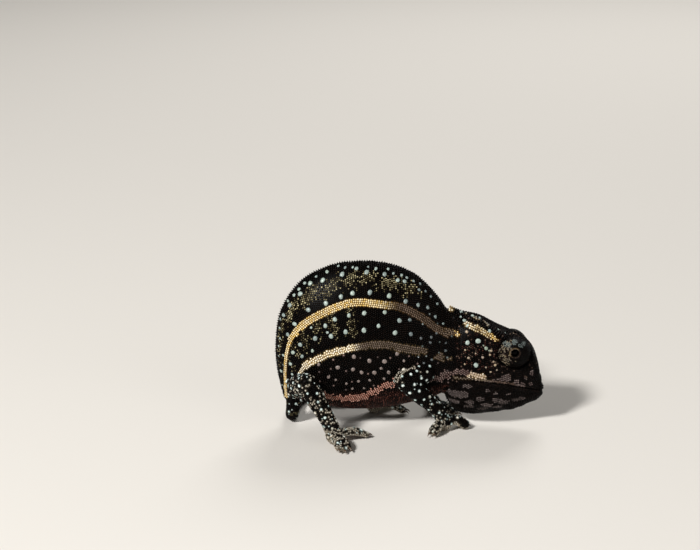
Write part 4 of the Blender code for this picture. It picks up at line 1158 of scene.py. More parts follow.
class Skin:
    """The finished skin, for finding the nearest place on it and the way out there."""

    def __init__(self, points, faces):
        self.points, self.faces = points, faces
        self.normals = normals_of(points, faces)
        self.tree = BVHTree.FromPolygons(points.tolist(), faces.tolist())

    def ways_out(self, numbers):
        """The ways out of some faces, by their numbers."""
        return unit(self.normals[self.faces[numbers]].mean(axis=1))

    def nearest(self, places):
        """The nearest places on the skin, and the ways out there."""
        found = [self.tree.find_nearest(place) for place in places.tolist()]
        spots = np.array([tuple(hit[0]) for hit in found])
        return spots, self.ways_out(np.array([hit[2] for hit in found]))

    def from_side(self, x, z, side):
        """Where a line across the animal at a place in side view first meets the skin."""
        hit = self.tree.ray_cast(Vector((x, side * 30.0, z)), Vector((0, -side, 0)))
        return (np.array(hit[0]), self.ways_out(np.array([hit[2]]))[0]) if hit[0] else None


def rows_over(surface, stations, turns, pitch, half_step=0):
    """Places in rows across a surface: along each station's line of turns, one pitch apart, and
    half a pitch further on every second line."""
    found = []
    for k, station in enumerate(stations):
        line = surface(np.full(len(turns), station), turns)
        found.append(spaced(line, pitch, pitch * (0.25 + 0.5 * ((k + half_step) % 2))))
    return np.vstack(found)


def even_stations(surface, turn, last, pitch):
    """Stations whose lines are a pitch apart where they pass the given turn."""
    dense = np.linspace(0, last, 900)
    return evenly(dense, surface(dense, np.full(len(dense), turn)), pitch)


def stripe_rows(line, side):
    """Rows of places along a stripe of the trunk, evenly to either side of its middle line."""
    middle = smooth_line(line, np.linspace(0, len(line) - 1, 600))
    pitch = PITCH["trunk"]
    found = []
    for k in range(STRIPE_ROWS):
        shift = (k - (STRIPE_ROWS - 1) / 2) * STRIPE_ROW_GAP
        station, degrees = trunk_turn(*beside(middle, shift).T)
        row = trunk_skin(station, side * np.radians(degrees))
        found.append(spaced(row, pitch, pitch * 0.5 * (k % 2)))
    return np.vstack(found)


def head_line_rows(skin, side):
    """Rows of places along the pale line behind the eye."""
    line = spaced(np.array(HEAD_GOLD_LINE), HEAD_LINE_PITCH)
    rows = np.vstack([beside(line, shift) for shift in HEAD_LINE_SHIFTS])
    hits = [skin.from_side(x, z, side) for x, z in rows]
    return np.array([hit[0] for hit in hits if hit is not None])


def tail_rows(tail):
    """Rings of places round the tail."""
    path, radius = tail
    number = np.arange(len(path))
    count = int(length_along(path)[-1] / (PITCH["tail"] * ROW_GAP))
    rings = np.linspace(2, len(path) - 2, count)
    centre = np.column_stack([np.interp(rings, number, column) for column in path.T])
    return tube(centre, np.interp(rings, number, radius), TAIL_SCALES_ROUND).reshape(-1, 3)


def scale_groups(skin, tail, lines):
    """Groups of places for scales, each with its rank: the stripes first, then the rows over the
    trunk, head and tail, and last the skin's own points, for where rows leave a gap."""
    trunk, head = PITCH["trunk"], PITCH["head"]
    groups = []
    for side in (-1, 1):
        groups += [(stripe_rows(line, side), -1) for line in lines.values()]
        turns = side * np.linspace(0.02, math.pi - 0.02, 200)
        stations = even_stations(trunk_skin, side * 1.15, LAST_STATION, trunk * ROW_GAP)
        groups.append((rows_over(trunk_skin, stations, turns, trunk), 0))
        between = (stations[1:] + stations[:-1]) / 2
        groups.append((rows_over(trunk_skin, between, turns, trunk, 1), 1))
        levels = side * np.linspace(0.03, LAST_LEVEL - 0.03, 160)
        stations = even_stations(head_skin, side * 2.2, LAST_HEAD_STATION, head * ROW_GAP)
        groups.append((rows_over(head_skin, stations, levels, head), 0))
        groups.append((head_line_rows(skin, side), -1))
    return groups + [(tail_rows(tail), 2), (skin.points, 3)]


def scale_pitch(places, tail):
    """How far apart the scales are at each place: wider over the helmet, closer on the throat."""
    part, _ = part_of(places, tail)
    pitch = np.array([PITCH["trunk"], PITCH["head"]] + [PITCH["leg"]] * 4 + [PITCH["tail"]])[part]
    x, z = places[:, 0], places[:, 2]
    helmet = (part == HEAD) & (z > np.interp(x, *HELMET_EDGE))
    helmet &= from_line(x, z, HEAD_GOLD_LINE)[0] >= LINE_HALF_WIDTH
    throat = (part == HEAD) & (z < mouth_height(x) - 0.3)
    return np.where(helmet, pitch * 1.22, np.where(throat, pitch * 0.92, pitch))


def pushed_apart(places, pitch, skin):
    """Each pair of places nearer than wanted moves apart by a share of what it lacks, five times,
    and comes back to the skin each time."""
    for _ in range(5):
        pairs = close_pairs(places, pitch.max() * WANTED_GAP)
        way, gap = pair_gaps(places, pairs)
        wanted = WANTED_GAP * (pitch[pairs[0]] + pitch[pairs[1]]) / 2
        push = np.clip(1 - gap / wanted, 0, 1)[:, None] * way / gap[:, None] * PUSH
        for c in range(3):
            places[:, c] += np.bincount(pairs[1], push[:, c], len(places))
            places[:, c] -= np.bincount(pairs[0], push[:, c], len(places))
        places, outs = skin.nearest(places)
    return places, outs


def spread_scales(skin, tail, lines):
    """Places for the scales, ways out and spacing: the groups' places, brought to the skin, thinned
    to the pitch and pushed apart until they are even. Spacing is the mean gap to the neighbours."""
    groups = scale_groups(skin, tail, lines)
    places = np.vstack([group for group, _ in groups])
    rank = np.concatenate([np.full(len(group), rank) for group, rank in groups])
    spots, _ = skin.nearest(places)
    off = np.linalg.norm(spots - places, axis=1)
    keep = (off < 0.45) & (spots[:, 2] > 0.06)
    places, rank = spots[keep], rank[keep]
    rank = rank + rng.random(len(rank)) * 0.9
    pitch = scale_pitch(places, tail)
    keep = thin_out(places, pitch, rank)
    pitch = pitch[keep]
    places, outs = pushed_apart(places[keep], pitch, skin)
    first, second = close_pairs(places, pitch.max() * 1.5)
    _, gap = pair_gaps(places, (first, second))
    near = gap < 1.45 * (pitch[first] + pitch[second]) / 2
    both = np.concatenate([first[near], second[near]])
    total = np.bincount(both, np.tile(gap[near], 2), len(places))
    spacing = total / np.maximum(np.bincount(both, minlength=len(places)), 1)
    return places, outs, np.where(spacing > 0, spacing, pitch)


# Domes

def dome_form(sides, levels):
    """A dome's points (across, across, up), triangles and crown. Levels are (radius, height) from
    the crown down, and the foot is closed flat."""
    turn = full_turn(sides)
    points = [[(0.0, 0.0, 1.0)]]
    crowns = [[1.0]]
    for radius, height in levels:
        high = np.full(sides, height)
        points.append(np.column_stack([radius * np.cos(turn), radius * np.sin(turn), high]))
        crowns.append(np.maximum(high, 0.0))
    ring = np.arange(sides)
    after = (ring + 1) % sides
    faces = [np.column_stack([np.zeros(sides, int), ring + 1, after + 1])]
    for k in range(len(levels) - 1):
        a, b = 1 + k * sides, 1 + (k + 1) * sides
        faces.append(np.column_stack([ring + a, ring + b, after + b]))
        faces.append(np.column_stack([ring + a, after + b, after + a]))
    foot = 1 + (len(levels) - 1) * sides
    fan = np.arange(1, sides - 1)
    faces.append(np.column_stack([np.full(len(fan), foot), foot + fan + 1, foot + fan]))
    return np.vstack(points), np.vstack(faces), np.concatenate(crowns)


SCALE_FORM = dome_form(6, [(0.62, 0.74), (1.0, -0.35)])
JEWEL_FORM = dome_form(12, [(0.50, 0.93), (0.86, 0.62), (1.04, -0.55)])
CONE_FORM = dome_form(6, [(0.45, 0.52), (1.0, -0.25)])


def uneven(form, count, amount):
    """A form for each of many domes, its outline drawn in and out twice and three times round."""
    local = np.repeat(form[0][None], count, axis=0)
    turn = np.arctan2(form[0][:, 1], form[0][:, 0])[None]
    start = rng.uniform(0, 2 * np.pi, (2, count, 1))
    swell = 1 + amount * (np.sin(2 * turn + start[0]) + 0.6 * np.sin(3 * turn + start[1]))
    local[:, :, :2] *= swell[:, :, None]
    return local, form[1], form[2]


def domes(name, form, places, outs, sizes, finish, values, unwrap, ways=SCALE_WAY):
    """Many domes as one mesh. Sizes are each dome's half length, half width and height: its points
    are its place, plus its way along by its length, its way across by its width and its way out by
    its height. Each is one small patch of the unwrap."""
    local, faces, crowns = form
    if local.ndim == 2:
        local = local[None]
    along = unit(ways - outs * (ways * outs).sum(axis=1, keepdims=True))
    points = places[:, None]
    for c, way in enumerate((along, np.cross(outs, along), outs)):
        points = points + local[:, :, c:c + 1] * (way * sizes[:, c:c + 1])[:, None]
    points = points.reshape(-1, 3)
    points[:, 2] = np.maximum(points[:, 2], 0.004)
    table = (faces[None] + np.arange(len(places))[:, None, None] * len(crowns)).reshape(-1, 3)
    uv = (unwrap[:, None] + local[:, :, :2] * PATCH / 2).reshape(-1, 2)
    attributes = {key: np.repeat(value, len(crowns)) for key, value in values.items()}
    attributes["crown"] = np.tile(crowns, len(places))
    return make_mesh(name, points, table, finish, attributes, uv)


def turn_round(aside, ahead):
    """An angle from 0 to 1."""
    return np.arctan2(aside, ahead) / (2 * np.pi) + 0.5


def unwrapped(places, tail):
    """Where each place lies on an unwrap of the skin: the trunk by station and angle, the head by X
    and the angle round its middle, legs and tail by the length along them and the angle round."""
    part, along = part_of(places, tail)
    x, y, z = places.T
    station, share, _ = trunk_place(x, z)
    flat = np.column_stack([station / LAST_STATION, np.arccos(1 - 2 * share) / np.pi])
    turn = np.arctan2(np.abs(y), z - np.interp(x, [4, 17], [9.5, 6.5])) / np.pi
    flat[part == HEAD] = np.column_stack([(x - 4.0) / 13.0, turn])[part == HEAD]
    for number, name in LEG_PARTS.items():
        mine = part == number
        root, _, end = (np.array(place) for place in LEGS[name][:3])
        aside = places[mine] - (root + (end - root) * along[mine, None])
        low = 0.5 if name.startswith("fore") else 0.0
        turn = low + turn_round(aside[:, 1], aside[:, 0]) * 0.5
        flat[mine] = np.column_stack([along[mine], turn])
    turn = turn_round(y - TAIL_TURN_CENTRE[1], x - TAIL_TURN_CENTRE[0])
    turn = np.modf(turn * 7)[0] * 0.3 + z * 0.35
    flat[part == TAIL] = np.column_stack([along, turn])[part == TAIL]
    return 0.02 + 0.96 * np.clip(flat, 0, 1)


# Materials

def linear(colour):
    """An sRGB hex colour as linear red, green, blue and 1."""
    values = np.array([int(colour[k:k + 2], 16) for k in (1, 3, 5)]) / 255
    values = np.where(values <= 0.04045, values / 12.92, ((values + 0.055) / 1.055) ** 2.4)
    return (*values, 1.0)


def node(tree, kind, links=(), output=0, **settings):
    """Adds a node and returns one of its outputs. Settings are its properties, and links are
    (input, value or socket)."""
    made = tree.nodes.new("ShaderNode" + kind)
    for key, value in settings.items():
        setattr(made, key, value)
    for socket, value in links:
        if isinstance(value, bpy.types.NodeSocket):
            tree.links.new(value, made.inputs[socket])
        else:
            made.inputs[socket].default_value = value
    return made.outputs[output]


def new_material(name, **constants):
    """A new material and its shader, with the constants set on the shader's own sockets."""
    made = bpy.data.materials.new(name)
    made.use_nodes = True
    shader = made.node_tree.nodes["Principled BSDF"]
    for key, value in constants.items():
        shader.inputs[key.replace("_", " ")].default_value = value
    return made, made.node_tree, shader


def connect(shader, **sockets):
    """Links outputs of nodes to the shader's sockets."""
    for key, value in sockets.items():
        shader.id_data.links.new(value, shader.inputs[key.replace("_", " ")])


def per_size(millimetres):
    """The scale of a pattern whose cells are so many millimetres across."""
    return 1 / (millimetres * MILLIMETRE)


def ramp_colours(ramp, stops):
    """Sets a colour ramp's stops, each a place and an sRGB hex colour."""
    elements = ramp.node.color_ramp.elements
    for element, (place, colour) in zip(elements, (stops[0], stops[-1])):
        element.position = place
        element.color = linear(colour)
    for place, colour in stops[1:-1]:
        elements.new(place).color = linear(colour)


def scaly_skin():
    """Keratin scales on dark skin: black-brown and slightly glossy, each scale a little lighter or darker
    than the next, with the markings laid over it. Each scale is lighter at its crown and darker in its
    grooves, partly as painted highlight and shade."""
    made, tree, shader = new_material("granular_keratin_skin", Roughness=0.36, Specular_IOR_Level=0.05)
    coordinates = node(tree, "TexCoord", output="Object")
    names = ["crown", "own", *MARKS]
    share = {key: node(tree, "Attribute", output="Fac", attribute_name=key) for key in names}
    # Painted light: by its height, each scale takes the lighter crown colours as painted highlight and
    # the darker groove colour as painted shade.
    lit = node(tree, "MapRange", [(0, share["crown"]), (1, 0.46), (2, 0.90)])
    # Dust colours only the crowns' tips, partly as painted glints.
    tip = node(tree, "MapRange", [(0, share["crown"]), (1, 0.64), (2, 0.92)])

    def layer(colours, raised):
        """Dark in the grooves, and on the crowns between two colours by each scale's own number; the
        change from groove to crown is partly painted shade and highlight.
        """
        groove, low, high = (linear(colour) for colour in colours)
        crowns = node(tree, "Mix", [(0, share["own"]), (6, low), (7, high)], 2, data_type="RGBA")
        return node(tree, "Mix", [(0, raised), (6, groove), (7, crowns)], 2, data_type="RGBA")

    colour = layer(GROUND, lit)
    for key, colours in MARKS.items():
        over = layer(colours, tip if key == "dust" else lit)
        colour = node(tree, "Mix", [(0, share[key]), (6, colour), (7, over)], 2, data_type="RGBA")
    cloud = node(tree, "TexNoise", [
        ("Vector", coordinates), ("Scale", per_size(CLOUD_SIZE)), ("Detail", 3.0),
    ])
    shade = node(tree, "MapRange", [(0, cloud), (1, 0.3), (2, 0.7), (3, 0.82), (4, 1.12)])
    varied = node(tree, "VectorMath", [(0, colour), (3, shade)], operation="SCALE")
    grain = node(tree, "TexNoise", [
        ("Vector", coordinates), ("Scale", per_size(SKIN_GRAIN)), ("Detail", 2.0),
    ])
    rough = node(tree, "MapRange", [(0, grain), (1, 0.3), (2, 0.7), (3, 0.26), (4, 0.42)])
    bumps = node(tree, "Bump", [("Strength", 0.35), ("Distance", 0.00001), ("Height", grain)])
    connect(shader, Base_Color=varied, Roughness=rough, Normal=bumps)
    return made


def jewel_scale():
    """Large flat scales of pale keratin: blue-white, greenish or rose, chalky with a soft gloss, darker
    towards each foot as painted shade, and greyer in the tones that are painted shadow.
    """
    made, tree, shader = new_material("pale_jewel_keratin", Roughness=0.38, Specular_IOR_Level=0.5)
    coordinates = node(tree, "TexCoord", output="Object")
    tone = node(tree, "Attribute", output="Fac", attribute_name="tone")
    crown = node(tree, "Attribute", output="Fac", attribute_name="crown")
    ramp = node(tree, "ValToRGB", [(0, tone)])
    ramp_colours(ramp, JEWEL_TONES)
    # Painted shade: each jewel is darker towards its foot.
    painted_foot_shade = node(tree, "MapRange", [(0, crown), (1, 0.05), (2, 0.6), (3, 0.25), (4, 1.0)])
    mottle = node(tree, "TexNoise", [
        ("Vector", coordinates), ("Scale", per_size(JEWEL_MOTTLE)), ("Detail", 2.0),
    ])
    patchy = node(tree, "MapRange", [(0, mottle), (1, 0.35), (2, 0.65), (3, 0.78), (4, 1.08)])
    shade = node(tree, "Math", [(0, painted_foot_shade), (1, patchy)], operation="MULTIPLY")
    colour = node(tree, "VectorMath", [(0, ramp), (3, shade)], operation="SCALE")
    bumps = node(tree, "Bump", [("Strength", 0.4), ("Distance", 0.00002), ("Height", mottle)])
    connect(shader, Base_Color=colour, Normal=bumps)
    return made


def wet_eye():
    """The wet ball of the eye: a black pupil in an iris nearly as dark, under a clear glossy film."""
    made, tree, shader = new_material("wet_cornea", Roughness=0.06, Specular_IOR_Level=0.04)
    ring = node(tree, "Attribute", output="Fac", attribute_name="ring")
    ramp = node(tree, "ValToRGB", [(0, ring)])
    ramp_colours(ramp, EYE_RINGS)
    connect(shader, Base_Color=ramp)
    return made


def claw_horn():
    """Claws of clear brown horn, darker at the root, polished by use."""
    made, tree, shader = new_material("claw_horn", Roughness=0.28, Coat_Weight=0.3, Coat_Roughness=0.2)
    coordinates = node(tree, "TexCoord", output="Object")
    along = node(tree, "Attribute", output="Fac", attribute_name="along")
    grain = node(tree, "TexNoise", [
        ("Vector", coordinates), ("Scale", per_size(HORN_GRAIN)), ("Detail", 2.0),
    ])
    root, tip, vein = (linear(colour) for colour in CLAW_COLOURS)
    length = node(tree, "Mix", [(0, along), (6, root), (7, tip)], 2, data_type="RGBA")
    colour = node(tree, "Mix", [(0, grain), (6, length), (7, vein)], 2, data_type="RGBA")
    bumps = node(tree, "Bump", [("Strength", 0.2), ("Distance", 0.00001), ("Height", grain)])
    connect(shader, Base_Color=colour, Normal=bumps)
    return made


def plain_floor():
    """A matt, pale studio floor."""
    colour = linear(FLOOR_COLOUR)
    return new_material("matt_floor", Roughness=0.9, Specular_IOR_Level=0.2, Base_Color=colour)[0]


# The skin and what sits on it

def trunk_form():
    """The trunk's rings, with one more at the front that reaches into the head."""
    trunk = surface_rings(trunk_skin, np.linspace(0, LAST_STATION, 170), full_turn(120))
    inside_head = trunk[-1] * (1, 0.82, 0.86) + (1.1, 0, 1.35)
    return np.vstack([trunk, inside_head[None]])


def head_form():
    """The head's rings, closed at the snout by smaller and smaller ones."""
    level = np.linspace(0, LAST_LEVEL, 50)
    levels = np.concatenate([level[:-1], -level[:0:-1]])
    head = surface_rings(head_skin, np.linspace(0, LAST_HEAD_STATION, 110), levels)
    last, rims = head[-1], []
    for x, z, size in SNOUT_TIP:
        rim = np.array([x, 0.0, z]) + (last - last.mean(axis=0)) * size
        rim[:, 0] = x
        rims.append(rim)
    return np.vstack([head, rims])


def leg_forms(name, leg):
    """A leg's upper and lower length, its ankle and its foot."""
    radii = LEG_RADII[name[:4]]
    root, bend, end, palm = (np.array(place) for place in leg[:4])
    lower_way = (end - bend) / np.linalg.norm(end - bend)
    limbs = [(root, bend), (bend, end), (end - lower_way, palm)]
    forms = [limb(*ends, sizes) for ends, sizes in zip(limbs, radii)]
    return forms + foot_forms(leg, TOES[name[:4]])


def tail_form(tail):
    """The tail's rings, from inside the trunk to a last smaller one at its tip."""
    path = np.vstack([np.array(TAIL_ROOT) + (0, 0, 1.2), tail[0]])
    rings = tube(path, np.concatenate([[TAIL_ROOT_RADIUS], tail[1]]), TUBE_SIDES)
    tip = rings[-1].mean(axis=0)
    return np.vstack([rings, [tip + (rings[-1] - tip) * 0.55 + (path[-1] - path[-2]) * 1.5]])


def build_skin(tail):
    """The whole skin's points and quads, fused from the forms, rounded and sculpted."""
    forms = [trunk_form(), head_form()]
    for name, leg in LEGS.items():
        forms += leg_forms(name, leg)
    points, faces = fused(forms + [tail_form(tail)])
    edges = edges_of(faces)
    points = smoothed(points, edges, 8)
    fold, _ = from_line(points[:, 0], points[:, 2], NECK_FOLD)
    eased = smoothed(points, edges, 14, (0.5,))
    points += (eased - points) * bump(fold, 0.9)[:, None]
    points[:, 2] = np.maximum(points[:, 2], 0.0)
    points = sculpt(points, normals_of(points, faces))
    return Skin(points, faces)


def nearest_values(points, places, values):
    """Each point's mean of the values at the three nearest places."""
    tree = KDTree(len(places))
    for k, place in enumerate(places.tolist()):
        tree.insert(place, k)
    tree.balance()
    near = np.array([[hit[1] for hit in tree.find_n(point, 3)] for point in points.tolist()])
    return {key: value[near].mean(axis=1) for key, value in values.items()}


def lip_beads():
    """Two rows of beads over the mouth's corner: each row is a straight line, one bead's size apart."""
    rows = [spaced(np.array(LIP_BEADS[k:k + 2]), LIP_BEAD_SIZE) for k in (0, 2)]
    return [(x, z, LIP_BEAD_SIZE * rng.uniform(0.9, 1.15)) for x, z in np.vstack(rows)]


def place_jewels(skin):
    """Places, ways out, sizes (length, height) and tones of the jewels: as the photograph shows them on
    the right flank and head, and shifted a little on the left ones. Blue jewels towards the head, more so
    lower down, get darker tones as painted shadow."""
    found = []

    def put(hit, size, tone):
        if hit is not None:
            found.append((*hit, size, tone))

    for side in (-1, 1):
        for group, low, high, takes_painted_shade in ((BLUE_JEWELS, 0.35, 0.62, 1), (ROSE_JEWELS, 0.78, 0.85, 0)):
            seen = on_trunk([row[:2] for row in group])
            for station, degrees, row in zip(*trunk_turn(*seen[:, ::2].T), group):
                if side > 0:
                    station = min(station + FAR_SIDE_SHIFT[0] * rng.uniform(-1, 1), 9.9)
                    degrees = degrees + FAR_SIDE_SHIFT[1] * rng.uniform(-1, 1)
                place = trunk_skin(np.array([station]), np.array([side * math.radians(degrees)]))
                spot, out = skin.nearest(place)
                # Painted shadow: blue jewels towards the head, more so lower on the flank, take darker
                # tones.
                painted_shade = step(spot[0, 0], -2.5, 1.5) * (0.40 + 0.40 * step(degrees, 45, 75)) * takes_painted_shade
                put((spot[0], out[0]), np.array(row[2:]) * PIXEL, rng.uniform(low, high) * (1 - painted_shade))
        for group, low, high in (
            (HEAD_JEWELS, 0.45, 0.62),
            (OLIVE_SPOTS, 0.69, 0.72),
            (TAN_SPOTS, 0.90, 0.97),
            (lip_beads(), 0.96, 1.0),
        ):
            for x, z, width in group:
                put(skin.from_side(x, z, side), (width * 0.9, width * 0.9), rng.uniform(low, high))
    return (np.array(column) for column in zip(*found))


def dots_among(places, mask, apart):
    """Picks some of the places in a mask, at least so far apart, in an order that is drawn."""
    picked = np.zeros(len(places), bool)
    mine = np.flatnonzero(mask)
    apart = np.broadcast_to(apart, len(places))[mine]
    picked[mine[thin_out(places[mine], apart, rng.random(len(mine)), 1.0)]] = True
    return picked


def limb_dots(at, marks):
    """Scales on the legs and tail, about a millimetre apart, that become pale dots."""
    mask = (at.legs | at.tail) & (marks["sole"] < 1) & (marks["gold"] == 0)
    return dots_among(at.points, mask, np.where(at.tail, TAIL_DOT_GAP, LEG_DOT_GAP))


def trunk_dots(at, marks, jewels):
    """Scales on the trunk that become small dots: near the ridge, the rump, the shoulder and under
    the cream stripe, clear of the stripes and of the jewels."""
    low = (at.angle > 96) & (at.angle < 128) & (at.station > 3.2)
    mask = (at.station < 2.2) | ((at.station > 8.2) & (at.angle > 50)) | low
    mask &= sum(marks[key] for key in ("gold", "cream", "rose")) == 0
    for jewel in jewels:
        mask &= np.linalg.norm(at.points - jewel, axis=1) > TRUNK_DOT_FROM_JEWEL
    return dots_among(at.points, mask, TRUNK_DOT_GAP) & at.trunk


def comb_cone(line, station, way):
    """A cone on a line in the middle plane: its place, sunk a little, and the way out of the line,
    above it for a way of 1 and below it for -1."""
    before, here, after = smooth_line(line, [station - 0.04, station, station + 0.04])
    along = (after - before) / np.linalg.norm(after - before)
    out = np.array([-along[1], 0.0, along[0]]) * way
    return (here[0] - out[0] * COMB_SINK, 0.0, here[1] - out[2] * COMB_SINK), out


def comb_rows(skin):
    """Cones along the back, the chin, the helmet's ridge and its edges: their places, ways out and
    sizes (half length, half width, height)."""
    found = []

    def put(kind, place, out, share=1.0):
        _, radius, height, least, most = CONES[kind]
        found.append((place, out, (radius, radius, height * share * rng.uniform(least, most))))

    for station in even_stations(trunk_skin, 0.0, LAST_COMB_STATION, CONES["back"][0]):
        if station > FIRST_COMB_STATION:
            tall = 0.6 + 0.4 * math.sin(math.pi * station / LAST_COMB_STATION)
            put("back", *comb_cone(BACK_LINE, station, 1), tall)
    dense = np.linspace(0.2, 8.6, 400)
    for station in evenly(dense, smooth_line(HEAD_THROAT, dense), CONES["chin"][0]):
        put("chin", *comb_cone(HEAD_THROAT, station, -1))
    for x, z in smooth_line(HEAD_TOP, np.arange(0.1, 5.2, CONES["ridge"][0])):
        put("ridge", (x, 0.0, z - 0.08), (0.35, 0.0, 0.94))
    for side in (-1, 1):
        for kind, line in (("side_crest", SIDE_CREST), ("snout_crest", SNOUT_CREST)):
            for x, z in spaced(np.array(line), CONES[kind][0]):
                hit = skin.from_side(x, z, side)
                if hit is not None:
                    put(kind, hit[0], hit[1] + (0, 0, 0.5))
    places, outs, sizes = (np.array(column) for column in zip(*found))
    return places, unit(outs), sizes


def lip_scales(skin):
    """The oblong scales in a row above and a row below the mouth, on both sides: places, ways out."""
    hits = [
        skin.from_side(x, mouth_height(x) + shift, side)
        for side in (-1, 1)
        for shift in (LIP_ROW_SHIFT, -LIP_ROW_SHIFT)
        for x in np.arange(8.4, 16.6, LIP_SCALE_GAP)
    ]
    return (np.array(column) for column in zip(*(hit for hit in hits if hit is not None)))


def clear_scales(at, jewels, widths):
    """True for the scales that no jewel covers and that don't lie in an eye's socket."""
    keep = np.ones(len(at.x), bool)
    for jewel, width in zip(jewels, widths):
        keep &= np.linalg.norm(at.points - jewel, axis=1) > width / 2 + JEWEL_MARGIN
    eye = np.hypot((at.x - EYE_CENTRE[0]) / TURRET_LENGTHENING, at.z - eye_height(at.y))
    return keep & ~((eye < SOCKET_BARE_RADIUS) & (np.abs(at.y) > 0.5) & at.head)


def mark_dots(at, marks, dots, specks):
    """Makes dots pale. Specks are fainter, most of all on the shoulder, where the dimming is painted
    shadow, and rosy under the stripe.
    """
    marks["pale"][dots] = 1.0
    # Painted shadow: the specks on the shoulder are dimmed.
    painted_shade_dimming = np.where(at.station > 8.2, 0.45, 1.0)
    marks["pale"][specks] = ((0.25 + 0.35 * at.own) * painted_shade_dimming)[specks]
    marks["dust"][specks] = 0
    rosy = specks & (at.angle > 96) & (at.station > 2.2)
    marks["pale"][rosy] = 0
    marks["grey"][rosy] = 0.80
    marks["rose"][rosy] = 0.20 * at.own[rosy]


def scale_sizes(at, marks, spacing, dots, specks):
    """Each scale's half length, half width and height, and True for those that no dot covers."""
    radii = spacing * SCALE_RADIUS * (0.94 + 0.12 * rng.random(len(at.x)))
    radii[dots] *= DOT_SWELL[0] + DOT_SWELL[1] * at.own[dots]
    bare = np.ones(len(at.x), bool)
    pairs = close_pairs(at.points, 0.30)
    _, gap = pair_gaps(at.points, pairs)
    for dot, other in (pairs, pairs[::-1]):
        bare[other[dots[dot] & ~dots[other] & (gap < radii[dot] * DOT_COVER)]] = False
    radii[specks] *= SPECK_SWELL
    for key in ("gold", "cream"):
        radii[marks[key] > 0.5] *= STRIPE_SWELL
    heights = spacing * SCALE_HEIGHT * (0.85 + 0.3 * at.own)
    heights[dots | specks] *= DOT_RISE
    return np.column_stack([radii, radii, heights]), bare


def build_coat(skin, tail, skin_finish, jewel_finish, flesh):
    """The skin with its markings, and the scales, jewels, combs and lips on it."""
    lines = {key: on_trunk(pixels)[:, ::2] for key, pixels in STRIPE_PIXELS.items()}
    places, outs, spacing = spread_scales(skin, tail, lines)
    at = Places(places, outs, tail)
    marks = markings(at, lines)
    shares = nearest_values(skin.points, places, marks)
    dress(make_mesh("skin", skin.points, skin.faces, skin_finish, shares), "skin", *flesh)

    def coat(name, form, spots, ways_out, sizes, values=None, finish=skin_finish, ways=SCALE_WAY):
        """Many domes as a piece. Unless it has its own values, it takes the nearest scales' marks."""
        if values is None:
            values = nearest_values(spots, places, marks)
            values["own"] = rng.random(len(spots))
        flat = unwrapped(spots, tail)
        dress(domes(name, form, spots, ways_out, sizes, finish, values, flat, ways), "skin")

    jewels, ways_out, jewel_sizes, tones = place_jewels(skin)
    widths = jewel_sizes.min(axis=1)
    shape = uneven(JEWEL_FORM, len(jewels), 0.07)
    sizes = np.column_stack([jewel_sizes / 2, widths * 0.20])
    coat("jewels", shape, jewels, ways_out, sizes, {"tone": tones}, jewel_finish)

    dots = limb_dots(at, marks)
    specks = trunk_dots(at, marks, jewels)
    mark_dots(at, marks, dots, specks)
    sizes, bare = scale_sizes(at, marks, spacing, dots, specks)
    keep = bare & clear_scales(at, jewels, widths)
    groups = {
        f"{part}_scales_{word}": mask & half
        for word, half in (("right", at.y < 0), ("left", at.y >= 0))
        for part, mask in (("trunk", at.trunk), ("head", at.head), ("leg", at.legs))
    }
    groups["tail_scales"] = at.tail
    for name, mask in groups.items():
        mine = keep & mask
        values = {key: value[mine] for key, value in (marks | {"own": at.own}).items()}
        coat(name, SCALE_FORM, places[mine], outs[mine], sizes[mine], values)
    coat("combs", CONE_FORM, *comb_rows(skin))
    lips, ways_out = lip_scales(skin)
    coat("lip_scales", JEWEL_FORM, lips, ways_out, np.tile(LIP_SCALE_SIZE, (len(lips), 1)), ways=LIP_WAY)


# Eyes and claws

def marks_on_lid(places, level, own):
    """Markings on an eye turret: a golden rim, cream on its upper left as a painted highlight, cream
    specks behind and pale patches along the top.
    """
    x, z = places[:, 0] - EYE_CENTRE[0], places[:, 2] - EYE_CENTRE[1]
    marks = no_marks(len(places))
    rim = (level > 6.6) & (level < 7.7)
    marks["taupe_and_painted_shade"][rim] = 0.55 + 0.40 * own[rim]
    # Painted highlight: the rim is cream on its upper left, the side towards the light.
    marks["cream"][rim] = (step(z - 0.4 - x, -0.3, 0.4) * (own > 0.15) * 0.95)[rim]
    behind = step(x, 0.2, -0.9) * step(level, 2.6, 4.0) * step(z, -1.7, -0.8) * ~rim
    third = redrawn(own, "dust")
    marks["taupe_and_painted_shade"] = np.where(third < behind * 0.55, 0.30 + 0.55 * own, marks["taupe_and_painted_shade"])
    marks["cream"] = np.where(third < behind * 0.36, 0.55 + 0.45 * own, marks["cream"])
    for patch in LID_PATCHES:
        marks["pale"][in_ellipse(x, z, patch, 0.1) & (own > 0.20) & (level > 3.0)] = 0.36
    return marks


def lid_scale_rings(side):
    """Levels and turns of the fine scales on the lids: in rings, each set half a scale on."""
    dense = np.linspace(1.6, 8.2, 400)
    line = lid_skin(side, dense, np.zeros(len(dense)))
    spots = []
    for k, level in enumerate(evenly(dense, line, LID_RING_GAP, 0.05)):
        radius = smooth_line(LID_PROFILE, [level])[0, 0]
        count = int(2 * np.pi * radius / LID_SCALE_GAP)
        turn = (np.arange(count) + 0.5 * (k % 2)) / count * 2 * np.pi
        spots.append(np.column_stack([np.full(count, level), turn]))
    return np.vstack(spots).T


